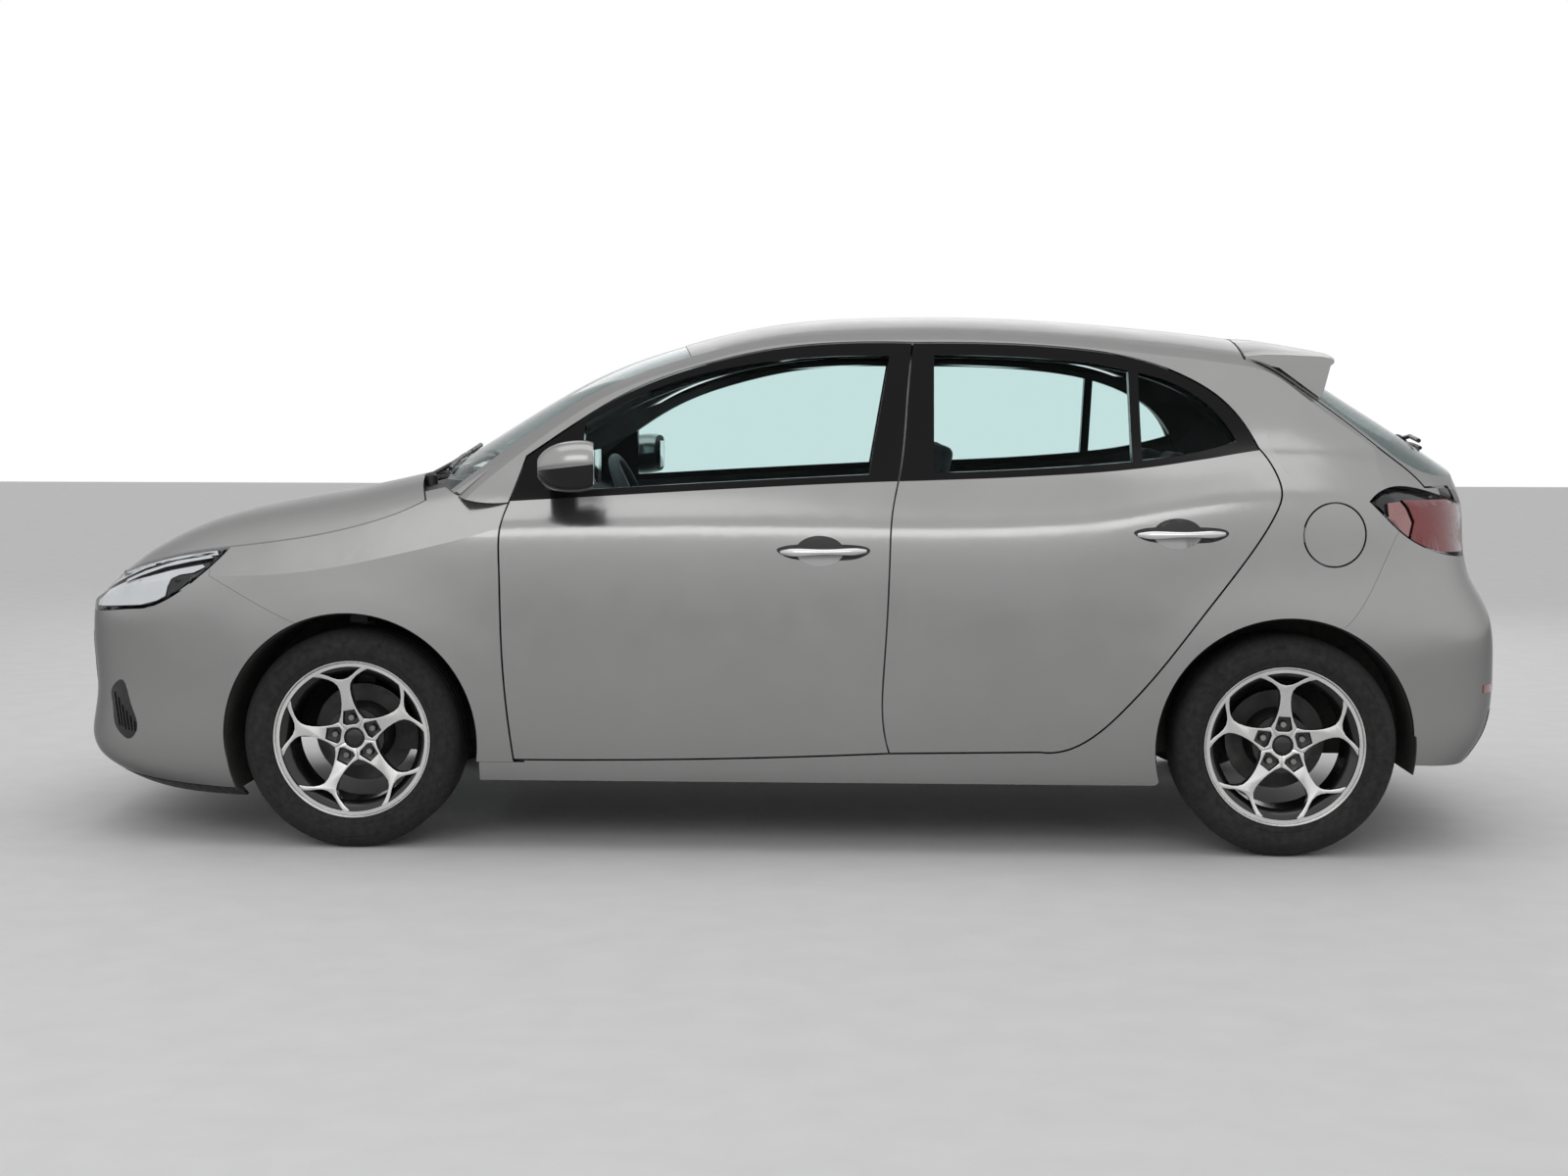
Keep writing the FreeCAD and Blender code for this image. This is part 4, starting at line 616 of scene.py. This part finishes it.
def wheel_pieces(end, side):
    """Tyre, rim, spokes, hub, bolts and brake disc of one wheel."""
    flipped = side == "right"
    x = FRONT_AXLE if end == "front" else REAR_AXLE
    body = "wheel_%s_%s_body" % (end, side)
    spot = Vector((x, WHEEL_Y, HUB_Z))
    twist = math.radians(FRONT_TWIST if end == "front" else REAR_TWIST)

    def place(obj, name, look, smooth=35.0):
        turn_about(obj, twist)
        move(obj, spot)
        if flipped:
            obj.data.transform(Matrix.Scale(-1, 4, (0, 1, 0)))
            obj.data.flip_normals()
        return settle(obj, "%s_%s_%s" % (name, end, side), look, body, smooth)

    tyre = place(tyre_mesh(), "tyre_tread", tread_rubber, smooth=40.0)
    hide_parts("tyre_%s_%s" % (end, side))
    half = RIM_HALF
    barrel = turned([
        (0.2145, half - 0.002), (0.2165, half), (0.2190, half), (0.2200, half - 0.0015),
        (0.2200, half - 0.0055), (0.2032, half - 0.006), (0.2032, half - 0.024), (0.1852, half - 0.036),
        (0.1852, -half + 0.036), (0.2032, -half + 0.024), (0.2032, -half + 0.006),
        (0.2200, -half + 0.006), (0.2200, -half), (0.214, -half), (0.196, -half + 0.020),
        (0.178, -half + 0.036), (0.178, half - 0.044), (0.1905, half - 0.026), (0.2035, half - 0.018),
        (0.2060, half - 0.0165), (0.2105, half - 0.0080), (0.2145, half - 0.002),
    ], steps=90)
    rim = place(barrel, "rim", machined, smooth=30.0)
    rim.data.materials.append(gloss_black)
    for face in rim.data.polygons:
        reach = math.hypot(face.center.x - x, face.center.z - HUB_Z)
        depth = abs(face.center.y) - WHEEL_Y
        face.material_index = 0 if reach > 0.2100 and depth > 0.05 else 1
    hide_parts("wheel_%s_%s" % (end, side))
    spokes = join([spoke_mesh(TURN * i / SPOKES) for i in range(SPOKES)])
    spokes = place(spokes, "spokes", machined, smooth=30.0)
    spokes.data.materials.append(gloss_black)
    for face in spokes.data.polygons:
        proud = abs(face.center.y) > WHEEL_Y + 0.047
        face.material_index = 0 if abs(face.normal.y) > 0.55 and proud else 1
    hub = turned([(0.0, 0.0535), (0.0200, 0.0535), (0.0225, 0.0525), (0.0245, 0.0500), (0.0262, 0.0500),
                  (0.0272, 0.0515), (0.0286, 0.0505), (0.0290, 0.0380), (0.0800, 0.0375), (0.0800, 0.0250),
                  (0.0740, 0.0), (0.030, -0.002), (0.030, -0.060), (0.0, -0.060)], steps=60)
    place(hub, "hub", gloss_black, smooth=30.0)
    bolts = []
    for i in range(SPOKES):
        bare()
        bpy.ops.mesh.primitive_cylinder_add(vertices=6, radius=0.0095, depth=0.012,
                                            rotation=(math.pi / 2, 0, 0), location=(0.0, 0.042, 0.056))
        bolt = bpy.context.object
        bpy.ops.object.transform_apply(location=True, rotation=True, scale=True)
        bolt.modifiers.new("edge", "BEVEL").width = 0.0012
        bpy.ops.object.modifier_apply(modifier="edge")
        bolts.append(turn_about(bolt, TURN * i / SPOKES))
    place(join(bolts), "bolts", cast, smooth=30.0)
    disc = turned([(0.030, -0.092), (0.138, -0.092), (0.1385, -0.0915), (0.1385, -0.0705), (0.138, -0.070),
                   (0.090, -0.070), (0.088, -0.066), (0.070, -0.052), (0.030, -0.050),
                   (0.030, -0.092)], steps=60)
    place(disc, "brake_disc", brake_iron, smooth=30.0)


for wheel_end in ("front", "rear"):
    for wheel_side in ("left", "right"):
        wheel_pieces(wheel_end, wheel_side)


# Door handles

def handle(node, x0, x1, z):
    """A pull handle: a bar that is thick in front and slim behind, over a shallow cup."""
    bar = block((x0, 0.0, z - 0.5), (x1, 1.0, z + 0.5))
    bpy.context.view_layer.objects.active = bar
    bar.select_set(True)
    bpy.ops.object.mode_set(mode="EDIT")
    bpy.ops.mesh.select_all(action="SELECT")
    bpy.ops.mesh.subdivide(number_cuts=7)
    bpy.ops.object.mode_set(mode="OBJECT")
    for vertex in bar.data.vertices:
        along = (vertex.co.x - x1) / (x0 - x1)
        up = (vertex.co.z - z) * 2
        out = vertex.co.y
        ends = math.sqrt(max(0.0, 1 - abs(2 * along - 1) ** 5))
        high = (0.0098 + 0.0022 * math.cos(along * math.pi * 2.2)) * (0.45 + 0.55 * ends)
        reach = 0.008 + 0.026 * ends
        inner = 0.012 * ends * ends if 0.1 < along < 0.9 else -0.004
        depth = inner + (reach - inner) * out * (1 - 0.22 * up * up)
        vertex.co.y = skin_y(node, vertex.co.x, z) + depth
        vertex.co.z = z + up * high - 0.004 * along
    bar.modifiers.new("soft", "SUBSURF").levels = 2
    bar.modifiers["soft"].render_levels = 2
    return bar


def cup(node, x, z):
    """The hollow behind a handle, with its rim."""
    angles = [i * math.pi / 20 for i in range(40)]
    ring = [(x + 0.066 * math.cos(a), z + 0.041 * math.sin(a)) for a in angles]
    return patch(node, ring, proud=0.0016, inner=0.80)


def handle_bed(node, x0, x1, z):
    """Dark gasket around a handle, pointed in front and rounded behind."""
    line = [(x0 + 0.006, z + 0.006), (x0 - 0.030, z + 0.0155), (x0 - 0.100, z + 0.018),
            (x1 + 0.040, z + 0.0165), (x1 - 0.002, z + 0.009), (x1 - 0.005, z - 0.006),
            (x1 + 0.030, z - 0.0215), (x1 + 0.080, z - 0.026), (x0 - 0.080, z - 0.026),
            (x0 - 0.030, z - 0.0205), (x0 + 0.002, z - 0.006)]
    return patch(node, smooth_line(line, steps=5), proud=0.0010, inner=0.80)


def cup_paint(name, z):
    """Silver that falls into shade towards the top of the hollow."""
    paint = Paint(name)
    height = paint.axes(paint.place)[2]
    shade = paint.span(height, z - 0.040, z + 0.018, 0.0, 1.0)
    paint.set(Base_Color=paint.ramp(shade, (0.40, 0.40, 0.40), (0.025, 0.025, 0.026), (0.25, 0.75)))
    paint.set(Metallic=0.6, Roughness=paint.span(paint.noise(80.0), 0.3, 0.7, 0.32, 0.42), Coat_Weight=0.4)
    paint.bump(paint.noise(300.0), 0.02, 0.0004)
    return paint.mat


HANDLES = (("front", -0.004, -0.241, 0.838), ("rear", -0.969, -1.207, 0.889))
for name, x0, x1, z in HANDLES:
    door = "door_%s_left" % name
    body = "door_" + name + "_%s_body"
    pair(handle(door, x0, x1, z), "handle_" + name, satin_chrome, body, smooth=40.0)
    hollow = cup_paint("cup_" + name, z)
    pair(handle_bed(door, x0, x1, z), "handle_bed_" + name, satin_black, body)
    pair(cup(door, (x0 + x1) / 2 + 0.010, z), "handle_cup_" + name, hollow, body)


# Arch guards

def arch_guard(x, first, last):
    """The lower end of a wheel arch's liner, bent round the tyre."""
    mesh = bpy.data.meshes.new("guard")
    spots = []
    for i in range(GUARD_STEPS + 1):
        angle = math.radians(first + (last - first) * i / GUARD_STEPS)
        spots.append((x + GUARD_RADIUS * math.cos(angle), HUB_Z + GUARD_RADIUS * math.sin(angle)))
    across = [0.585, 0.70, 0.80, 0.846]
    points = [(px, y, pz) for px, pz in spots for y in across]
    size = len(across)
    faces = [(i * size + j, i * size + j + 1, (i + 1) * size + j + 1, (i + 1) * size + j)
             for i in range(len(spots) - 1) for j in range(size - 1)]
    mesh.from_pydata(points, [], faces)
    guard = bpy.data.objects.new("guard", mesh)
    bpy.context.scene.collection.objects.link(guard)
    bare()
    bpy.context.view_layer.objects.active = guard
    wall = guard.modifiers.new("wall", "SOLIDIFY")
    wall.thickness, wall.offset = 0.003, 0.0
    bpy.ops.object.modifier_apply(modifier="wall")
    return guard


front_guard = arch_guard(FRONT_AXLE, first=5, last=-24)
pair(front_guard, "front_arch_guard", underside, "root", smooth=40.0)
rear_guard = arch_guard(REAR_AXLE, first=175, last=192)
pair(rear_guard, "rear_arch_guard", underside, "root", smooth=40.0)


# Lamps

def lamp_piece(outline, sink, name, look, node="headlamps"):
    """A part of a lamp's inside, sunk below the lamp's skin."""
    pair(patch(node, outline, -sink, LAMP_INNER), name, look, "root", smooth=30.0)


lamp_all = [(2.10, 0.60), (2.10, 0.90), (1.45, 0.90), (1.45, 0.60)]
lamp_piece(lamp_all, 0.0120, "lamp_back", gloss_black)
bar_top = [(2.050, 0.675), (1.945, 0.720), (1.880, 0.750), (1.790, 0.782), (1.690, 0.809), (1.575, 0.824),
           (1.568, 0.812), (1.650, 0.806), (1.730, 0.790), (1.800, 0.768), (1.870, 0.738),
           (1.960, 0.695), (2.050, 0.655)]
bar_edge = [(1.690, 0.7945), (1.590, 0.8110), (1.582, 0.8050), (1.650, 0.7930), (1.725, 0.7765),
            (1.800, 0.7510), (1.850, 0.7300), (1.850, 0.7380), (1.790, 0.7640)]
bar_mid = [(1.780, 0.7480), (1.700, 0.7690), (1.610, 0.7860), (1.600, 0.7800), (1.630, 0.7650),
           (1.672, 0.7580), (1.694, 0.7480), (1.706, 0.7250), (1.712, 0.6990), (1.740, 0.6850),
           (1.790, 0.6720), (1.860, 0.6660), (1.960, 0.6560), (2.050, 0.6450), (2.050, 0.6520),
           (1.940, 0.6980), (1.860, 0.7290)]
lamp_piece(bar_top, 0.0060, "lamp_bar_upper", lamp_silver)
lamp_piece(bar_edge, 0.0040, "lamp_bar_lower", lamp_silver)
lamp_piece(bar_mid, 0.0090, "lamp_reflector", lamp_silver)


def projector():
    """Round lens in its bowl, looking forwards out of the lamp."""
    bowl = turned([(0.0, 0.010), (0.018, 0.0085), (0.027, 0.003), (0.0285, 0.0), (0.031, 0.001),
                   (0.033, 0.004), (0.0355, 0.004), (0.036, 0.0), (0.036, -0.02), (0.0, -0.02)], steps=48)
    bowl.data.transform(Matrix.Rotation(math.radians(-52), 4, "Z"))
    return move(bowl, (1.800, 0.752, 0.7040))


pair(projector(), "lamp_projector", chrome, "root", smooth=30.0)

tail_whole = [(-2.10, 0.80), (-2.10, 1.05), (-1.55, 1.05), (-1.55, 0.80)]
lamp_piece(tail_whole, 0.0150, "tail_lamp_back", gloss_black, "tail_lamps")
tail_main = [(-1.700, 0.978), (-2.10, 0.972), (-2.10, 0.82), (-1.78, 0.835), (-1.722, 0.868),
             (-1.735, 0.92), (-1.716, 0.960)]
tail_light = [(-1.655, 0.970), (-1.692, 0.974), (-1.708, 0.955), (-1.726, 0.915), (-1.714, 0.872),
              (-1.690, 0.885), (-1.660, 0.912)]
lamp_piece(tail_main, 0.0050, "tail_lamp_red", lamp_red, "tail_lamps")
lamp_piece(tail_light, 0.0060, "tail_lamp_side", lamp_pink, "tail_lamps")


# Side intake of the front bumper

intake = [(1.903, 0.425), (1.859, 0.456), (1.832, 0.390), (1.811, 0.336), (1.822, 0.302), (1.849, 0.290),
          (1.888, 0.323), (1.898, 0.375)]
intake_skin = patch("front_bumper", smooth_line(intake, steps=4), proud=0.0010)
pair(intake_skin, "side_intake", satin_black, "root", smooth=30.0)
ribs = []
for i in range(RIBS):
    low = Vector((1.874 - 0.011 * i, 0.318 - 0.001 * i + (0.006 if i < 2 else 0.0)))
    high = low + Vector((0.020 - 0.0035 * i, 0.094 - 0.013 * i))
    rib = [(low.x + 0.0022, low.y), (high.x + 0.0022, high.y), (high.x - 0.0022, high.y),
           (low.x - 0.0022, low.y)]
    ribs.append(patch("front_bumper", rib, proud=0.0040))
pair(join(ribs), "intake_ribs", gloss_black, "root", smooth=30.0)


# Dark frame round the grille and lip under the nose

grille_edge = [(-0.396, 0.286), (0.396, 0.286), (0.584, 0.466), (0.565, 0.576), (0.0, 0.602),
               (-0.565, 0.576), (-0.584, 0.466)]
grille_tool = plate([(2.12, y, z) for y, z in grille_edge], depth=0.45, way=(-1, 0, 0))
grille_frame = carve_out(skin_of("front_bumper", proud=0.0014), grille_tool, "INTERSECT")
settle(grille_frame, "grille_frame", gloss_black, "root", smooth=30.0)

lip_side = [(2.10, 0.100), (2.10, 0.182), (1.960, 0.182), (1.860, 0.174), (1.700, 0.164), (1.560, 0.158),
            (1.300, 0.158), (1.300, 0.100)]
lip_tool = plate([(x, 0.95, z) for x, z in lip_side], depth=1.90, way=(0, -1, 0))
front_lip = carve_out(skin_of("front_bumper", proud=0.0012), lip_tool, "INTERSECT")
settle(front_lip, "front_lip", satin_black, "root")


# Spoiler on the tailgate's top edge

def spoiler():
    """A wing across the tailgate's top: flat above, hollow under its tip, closed at both ends."""
    stations = [0.0, 0.14, 0.28, 0.38, 0.46, 0.51, 0.545, SPOILER_HALF]
    sections = []
    for y in stations:
        front = skin_z("roof_panel", SPOILER_FRONT_X, min(y, 0.545)) if y < 0.555 else 1.3745
        drop = 1.4398 - front
        edge = (y / SPOILER_HALF) ** 6
        tip_x = -1.586 + 0.020 * (y / SPOILER_HALF) ** 2 + 0.012 * edge
        tip_z = 1.3935 - drop * 0.34 - 0.004 * edge
        base = -1.47 - 0.045 * (y / SPOILER_HALF) ** 2
        low = skin_z("tailgate", base, min(y, 0.53)) - 0.004
        sections.append([
            (-1.3050, y, front - 0.0005), (-1.3600, y, front * 0.80 + tip_z * 0.20 + 0.006),
            (-1.4400, y, front * 0.50 + tip_z * 0.50 + 0.006),
            (-1.5200, y, front * 0.20 + tip_z * 0.80 + 0.004),
            (tip_x + 0.012, y, tip_z + 0.001), (tip_x, y, tip_z - 0.005),
            (tip_x + 0.001, y, tip_z - 0.013), (tip_x + 0.010, y, tip_z - 0.020),
            (base - 0.020 + 0.012 * edge, y, low + 0.016 - 0.014 * edge),
            (base, y, low - 0.004), (-1.4000, y, skin_z("tailgate", -1.40, min(y, 0.53)) - 0.006),
            (-1.3060, y, front - 0.012),
        ])
    bare()
    size = len(sections[0])
    points = [p for section in sections for p in section]
    faces = []
    for s in range(len(sections) - 1):
        for i in range(size):
            a, b = s * size + i, s * size + (i + 1) % size
            faces.append((a, b, b + size, a + size))
    faces.append(tuple(range(len(points) - size, len(points))))
    mesh = bpy.data.meshes.new("wing")
    mesh.from_pydata(points, [], faces)
    wing = bpy.data.objects.new("wing", mesh)
    bpy.context.scene.collection.objects.link(wing)
    whole = join([wing, flip(wing)])
    bpy.ops.object.mode_set(mode="EDIT")
    bpy.ops.mesh.select_all(action="SELECT")
    bpy.ops.mesh.remove_doubles(threshold=0.0001)
    bpy.ops.mesh.normals_make_consistent(inside=False)
    bpy.ops.object.mode_set(mode="OBJECT")
    return whole


settle(spoiler(), "rear_spoiler", silver_plain, "tailgate_body", smooth=40.0)
stop_lamp = block((-1.5800, -0.150, 1.3700), (-1.5720, 0.150, 1.3810), round_by=0.0020)
settle(stop_lamp, "stop_lamp", lamp_red, "tailgate_body")


# Wipers

def rear_wiper():
    """Hub, arm and blade lying on the rear screen."""
    hub_spot = Vector((-1.868, 0.0, skin_z("tailgate_glass", -1.868, 0.0)))
    lean = math.radians(REAR_GLASS_LEAN)
    out = Vector((-math.sin(lean), 0.0, math.cos(lean)))
    hub = turned([(0.0, 0.030), (0.014, 0.030), (0.020, 0.026), (0.022, 0.018), (0.022, 0.0),
                  (0.0, 0.0)], steps=32)
    hub.data.transform(Matrix.Rotation(math.radians(90), 4, "X"))
    hub.data.transform(Matrix.Rotation(-lean, 4, "Y"))
    move(hub, hub_spot)
    foot = hub_spot + out * 0.022
    far = Vector((-1.855, 0.27, skin_z("tailgate_glass", -1.855, 0.27))) + out * 0.024
    near = Vector((-1.862, -0.06, skin_z("tailgate_glass", -1.862, -0.06))) + out * 0.010
    arm = tube([foot, foot * 0.6 + far * 0.4 + out * 0.012, far], radius=0.0065)
    steps = [near.lerp(far, i / 8) for i in range(9)]
    spots = [Vector((p.x, p.y, skin_z("tailgate_glass", p.x, p.y))) for p in steps]
    blade = tube([p + out * 0.009 for p in spots], radius=0.0055)
    rubber = tube([p + out * 0.003 for p in spots], radius=0.0026)
    return join([hub, arm, blade, rubber])


settle(rear_wiper(), "rear_wiper", satin_black, "tailgate_body", smooth=40.0)


def front_wiper(pivot_y, tip_y):
    """One arm with its blade on the windscreen's foot."""
    top = Vector((0.50, 0.0, 0.86)).normalized()
    pivot = Vector((1.030, pivot_y, skin_z("cowl", 1.030, pivot_y)))
    tip = Vector((0.955, tip_y, skin_z("windscreen", 0.955, tip_y)))
    elbow = Vector((0.985, pivot_y * 0.75 + tip_y * 0.25, 0.0))
    elbow.z = skin_z("cowl", 1.015, elbow.y) + 0.050
    cap = turned([(0.0, 0.034), (0.013, 0.034), (0.019, 0.028), (0.021, 0.0), (0.0, 0.0)], steps=32)
    cap.data.transform(Matrix.Rotation(math.radians(90), 4, "X"))
    move(cap, pivot)
    arm = tube([pivot + Vector((0, 0, 0.028)), elbow, tip + top * 0.020], radius=0.0070)
    run = []
    for i in range(11):
        y = tip_y + (pivot_y - tip_y) * (i / 10 * 1.25 - 0.25)
        run.append(Vector((WIPER_X, y, skin_z("windscreen", WIPER_X, y))) + top * 0.010)
    blade = tube(run, radius=0.0060)
    rubber = tube([p - top * 0.006 for p in run], radius=0.0028)
    return join([cap, arm, blade, rubber])


front_wipers = join([front_wiper(0.48, 0.02), front_wiper(-0.10, -0.50)])
settle(front_wipers, "front_wipers", satin_black, "root", smooth=40.0)


# Mirrors

pane = block((0.4862, 0.850, 1.020), (0.4890, 1.008, 1.112), round_by=0.0012)
pair(pane, "mirror_pane", chrome, "door_front_%s_body", smooth=30.0)


# Rear bumper's lower part

diffuser_side = [(-1.95, 0.20), (-1.95, 0.375), (-2.12, 0.375), (-2.12, 0.20)]
diffuser_tool = plate([(x, 0.60, z) for x, z in diffuser_side], depth=1.20, way=(0, -1, 0))
diffuser = carve_out(skin_of("rear_bumper", proud=0.0012), diffuser_tool, "INTERSECT")
settle(diffuser, "rear_diffuser", satin_black, "root", smooth=30.0)

reflector_edge = [(0.54, 0.430), (0.68, 0.436), (0.68, 0.458), (0.54, 0.452)]
reflector_tool = plate([(-1.90, y, z) for y, z in reflector_edge], depth=0.25, way=(-1, 0, 0))
reflector = carve_out(skin_of("rear_bumper", proud=0.0020), reflector_tool, "INTERSECT")
pair(reflector, "rear_reflector", lamp_red, "root", smooth=30.0)


# Seats

def cushion(low, high, cuts, puff, form):
    """A padded block: rounded, puffed out and shaped, with stitched channels."""
    pad = block(low, high, round_by=min(b - a for a, b in zip(low, high)) * 0.28, segments=3)
    bpy.context.view_layer.objects.active = pad
    pad.select_set(True)
    bpy.ops.object.mode_set(mode="EDIT")
    bpy.ops.mesh.select_all(action="SELECT")
    bpy.ops.mesh.subdivide(number_cuts=cuts)
    bpy.ops.object.mode_set(mode="OBJECT")
    middle = [(a + b) / 2 for a, b in zip(low, high)]
    half = [(b - a) / 2 for a, b in zip(low, high)]
    for vertex in pad.data.vertices:
        share = [(c - m) / h for c, m, h in zip(vertex.co, middle, half)]
        form(vertex, share, puff)
    soft = pad.modifiers.new("soft", "SUBSURF")
    soft.levels = soft.render_levels = 1
    bare()
    bpy.context.view_layer.objects.active = pad
    bpy.ops.object.modifier_apply(modifier="soft")
    return pad


def sit_form(vertex, share, puff):
    """Squab: raised side rolls, two seams along and three across."""
    along, across, up = share
    if up > 0.2:
        roll = max(0.0, abs(across) - 0.62) / 0.38
        vertex.co.z += puff * (0.9 * math.sin(min(roll, 1.0) * math.pi) + 0.25 * math.cos(along * 1.6))
        vertex.co.z -= 0.006 * math.exp(-((abs(across) - 0.62) / 0.04) ** 2)
        lines = (-0.35, 0.05, 0.45)
        vertex.co.z -= 0.0035 * max(math.exp(-((along - line) / 0.035) ** 2) for line in lines)


def back_form(vertex, share, puff):
    """Backrest: side rolls towards the sitter and seams across."""
    along, across, up = share
    if along > 0.2:
        roll = max(0.0, abs(across) - 0.60) / 0.40
        vertex.co.x += puff * (0.9 * math.sin(min(roll, 1.0) * math.pi) + 0.25 * math.cos(up * 1.6))
        vertex.co.x -= 0.006 * math.exp(-((abs(across) - 0.60) / 0.04) ** 2)
        lines = (-0.5, -0.15, 0.2, 0.55)
        vertex.co.x -= 0.0035 * max(math.exp(-((up - line) / 0.03) ** 2) for line in lines)


def tilted(obj, about, degrees):
    """Leans a pad back about a point."""
    obj.data.transform(Matrix.Translation(-Vector(about)))
    obj.data.transform(Matrix.Rotation(math.radians(degrees), 4, "Y"))
    obj.data.transform(Matrix.Translation(Vector(about)))
    return obj


def front_seat():
    """Squab, backrest and headrest of the left front seat."""
    x, y = SEAT_X, SEAT_Y
    about = (x - 0.060, y, 0.330)
    squab = cushion((x - 0.060, y - 0.248, 0.305), (x + 0.470, y + 0.248, 0.455),
                    cuts=9, puff=0.016, form=sit_form)
    back = cushion((x - 0.148, y - 0.238, 0.335), (x - 0.022, y + 0.238, 0.955),
                   cuts=9, puff=0.018, form=back_form)
    head = cushion((x - 0.165, y - 0.125, 0.985), (x - 0.080, y + 0.125, 1.160),
                   cuts=5, puff=0.010, form=back_form)
    return join([squab, tilted(back, about, SEAT_LEAN), tilted(head, about, SEAT_LEAN)])


def seat_posts():
    """The two bars that carry the headrest."""
    x, y = SEAT_X, SEAT_Y
    about = (x - 0.060, y, 0.330)
    bars = join([tube([(x - 0.120, y + s, 0.930), (x - 0.120, y + s, 1.010)], radius=0.006)
                 for s in (-0.055, 0.055)])
    return tilted(bars, about, SEAT_LEAN)


front = front_seat()
seats = join([front, flip(front)])
settle(seats, "front_seat_pads", seat_cloth, "root", smooth=50.0)
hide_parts("front_seats")
posts = seat_posts()
settle(join([posts, flip(posts)]), "headrest_posts", satin_chrome, "root", smooth=40.0)
rails = join([block((SEAT_X - 0.040, SEAT_Y + s - 0.020, 0.245),
                    (SEAT_X + 0.420, SEAT_Y + s + 0.020, 0.306), round_by=0.004) for s in (-0.170, 0.170)])
settle(join([rails, flip(rails)]), "seat_rails", dark_steel, "root", smooth=30.0)

bench = cushion((-0.958, -0.638, 0.305), (-0.522, 0.638, 0.468), cuts=11, puff=0.012, form=sit_form)
rest = cushion((-0.988, -0.556, 0.458), (-0.872, 0.556, 1.005), cuts=11, puff=0.014, form=back_form)
heads = [cushion((-0.975, y - 0.115, 1.010), (-0.895, y + 0.115, 1.135), cuts=5, puff=0.008, form=back_form)
         for y in (-0.33, 0.33)]
rear = join([bench] + [tilted(pad, BENCH_PIVOT, BENCH_LEAN) for pad in [rest] + heads])
settle(rear, "rear_seat_pads", seat_cloth, "root", smooth=50.0)
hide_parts("rear_seat")


# Camera, light and floor

def camera_axes(yaw, pitch, roll):
    """Right, up and forward of the camera in the car's frame."""
    c, s = math.cos(yaw), math.sin(yaw)
    right, up, ahead = Vector((-1, 0, 0)), Vector((0, 0, 1)), Vector((0, -1, 0))
    right, ahead = right * c + ahead * s, ahead * c - right * s
    c, s = math.cos(pitch), math.sin(pitch)
    up, ahead = up * c + ahead * s, ahead * c - up * s
    c, s = math.cos(roll), math.sin(roll)
    right, up = right * c + up * s, up * c - right * s
    return right, up, ahead


camera_data = bpy.data.cameras.new("camera")
camera_data.lens = CAMERA_LENS
camera_data.sensor_width = 36.0
camera_data.clip_end = 100.0
camera = bpy.data.objects.new("camera", camera_data)
bpy.context.scene.collection.objects.link(camera)
right, up, ahead = camera_axes(*(math.radians(a) for a in (CAMERA_YAW, CAMERA_PITCH, CAMERA_ROLL)))
turn = Matrix((right, up, -ahead)).transposed().to_4x4()
camera.matrix_world = Matrix.Translation(CAMERA_SPOT) @ turn
bpy.context.scene.camera = camera

bare()
bpy.ops.mesh.primitive_plane_add(size=FLOOR_SIZE, location=(0, 0, 0))
floor = bpy.context.object
floor.name = "floor"
floor_look = plain("floor_look", (0.80, 0.80, 0.80), (0.84, 0.84, 0.84),
                   rough=0.75, grain=60.0, strength=0.05)
floor.data.materials.append(floor_look)

# Soft fill light for the surfaces; plain white for the camera, mirrors and glass
world = bpy.data.worlds.new("studio")
bpy.context.scene.world = world
world.use_nodes = True
tree = world.node_tree
back = tree.nodes["Background"]
back.inputs[0].default_value = (1.0, 1.0, 1.0, 1.0)
back.inputs[1].default_value = FILL_STRENGTH
white = tree.nodes.new("ShaderNodeBackground")
white.inputs[0].default_value = (1.0, 1.0, 1.0, 1.0)
white.inputs[1].default_value = WHITE_STRENGTH
path = tree.nodes.new("ShaderNodeLightPath")
mixer = tree.nodes.new("ShaderNodeMixShader")
rays = path.outputs["Is Camera Ray"]
for seen_by in ("Is Glossy Ray", "Is Transmission Ray"):
    either = tree.nodes.new("ShaderNodeMath")
    either.operation = "MAXIMUM"
    tree.links.new(rays, either.inputs[0])
    tree.links.new(path.outputs[seen_by], either.inputs[1])
    rays = either.outputs[0]
tree.links.new(rays, mixer.inputs[0])
tree.links.new(back.outputs[0], mixer.inputs[1])
tree.links.new(white.outputs[0], mixer.inputs[2])
tree.links.new(mixer.outputs[0], [n for n in tree.nodes if n.type == "OUTPUT_WORLD"][0].inputs[0])


def soft_light(name, spot, aim, size, power):
    """A broad lamp of the studio, turned to a point."""
    light = bpy.data.lights.new(name, "AREA")
    light.shape = "RECTANGLE"
    light.size, light.size_y = size
    light.energy = power
    lamp = bpy.data.objects.new(name, light)
    bpy.context.scene.collection.objects.link(lamp)
    lamp.location = spot
    lamp.rotation_euler = (Vector(aim) - Vector(spot)).to_track_quat("-Z", "Y").to_euler()


soft_light("overhead", spot=(0, 0.5, 4.6), aim=(0, 0, 0.5), size=(6.0, 3.4), power=OVERHEAD_POWER)
soft_light("photo_side", spot=(0.6, 6.5, 3.6), aim=(0, 0, 0.6), size=(6.0, 2.4), power=SIDE_POWER)
soft_light("far_side", spot=(-0.6, -6.0, 3.6), aim=(0, 0, 0.6), size=(6.0, 2.4), power=SIDE_POWER)
bpy.context.scene.view_settings.view_transform = "Standard"
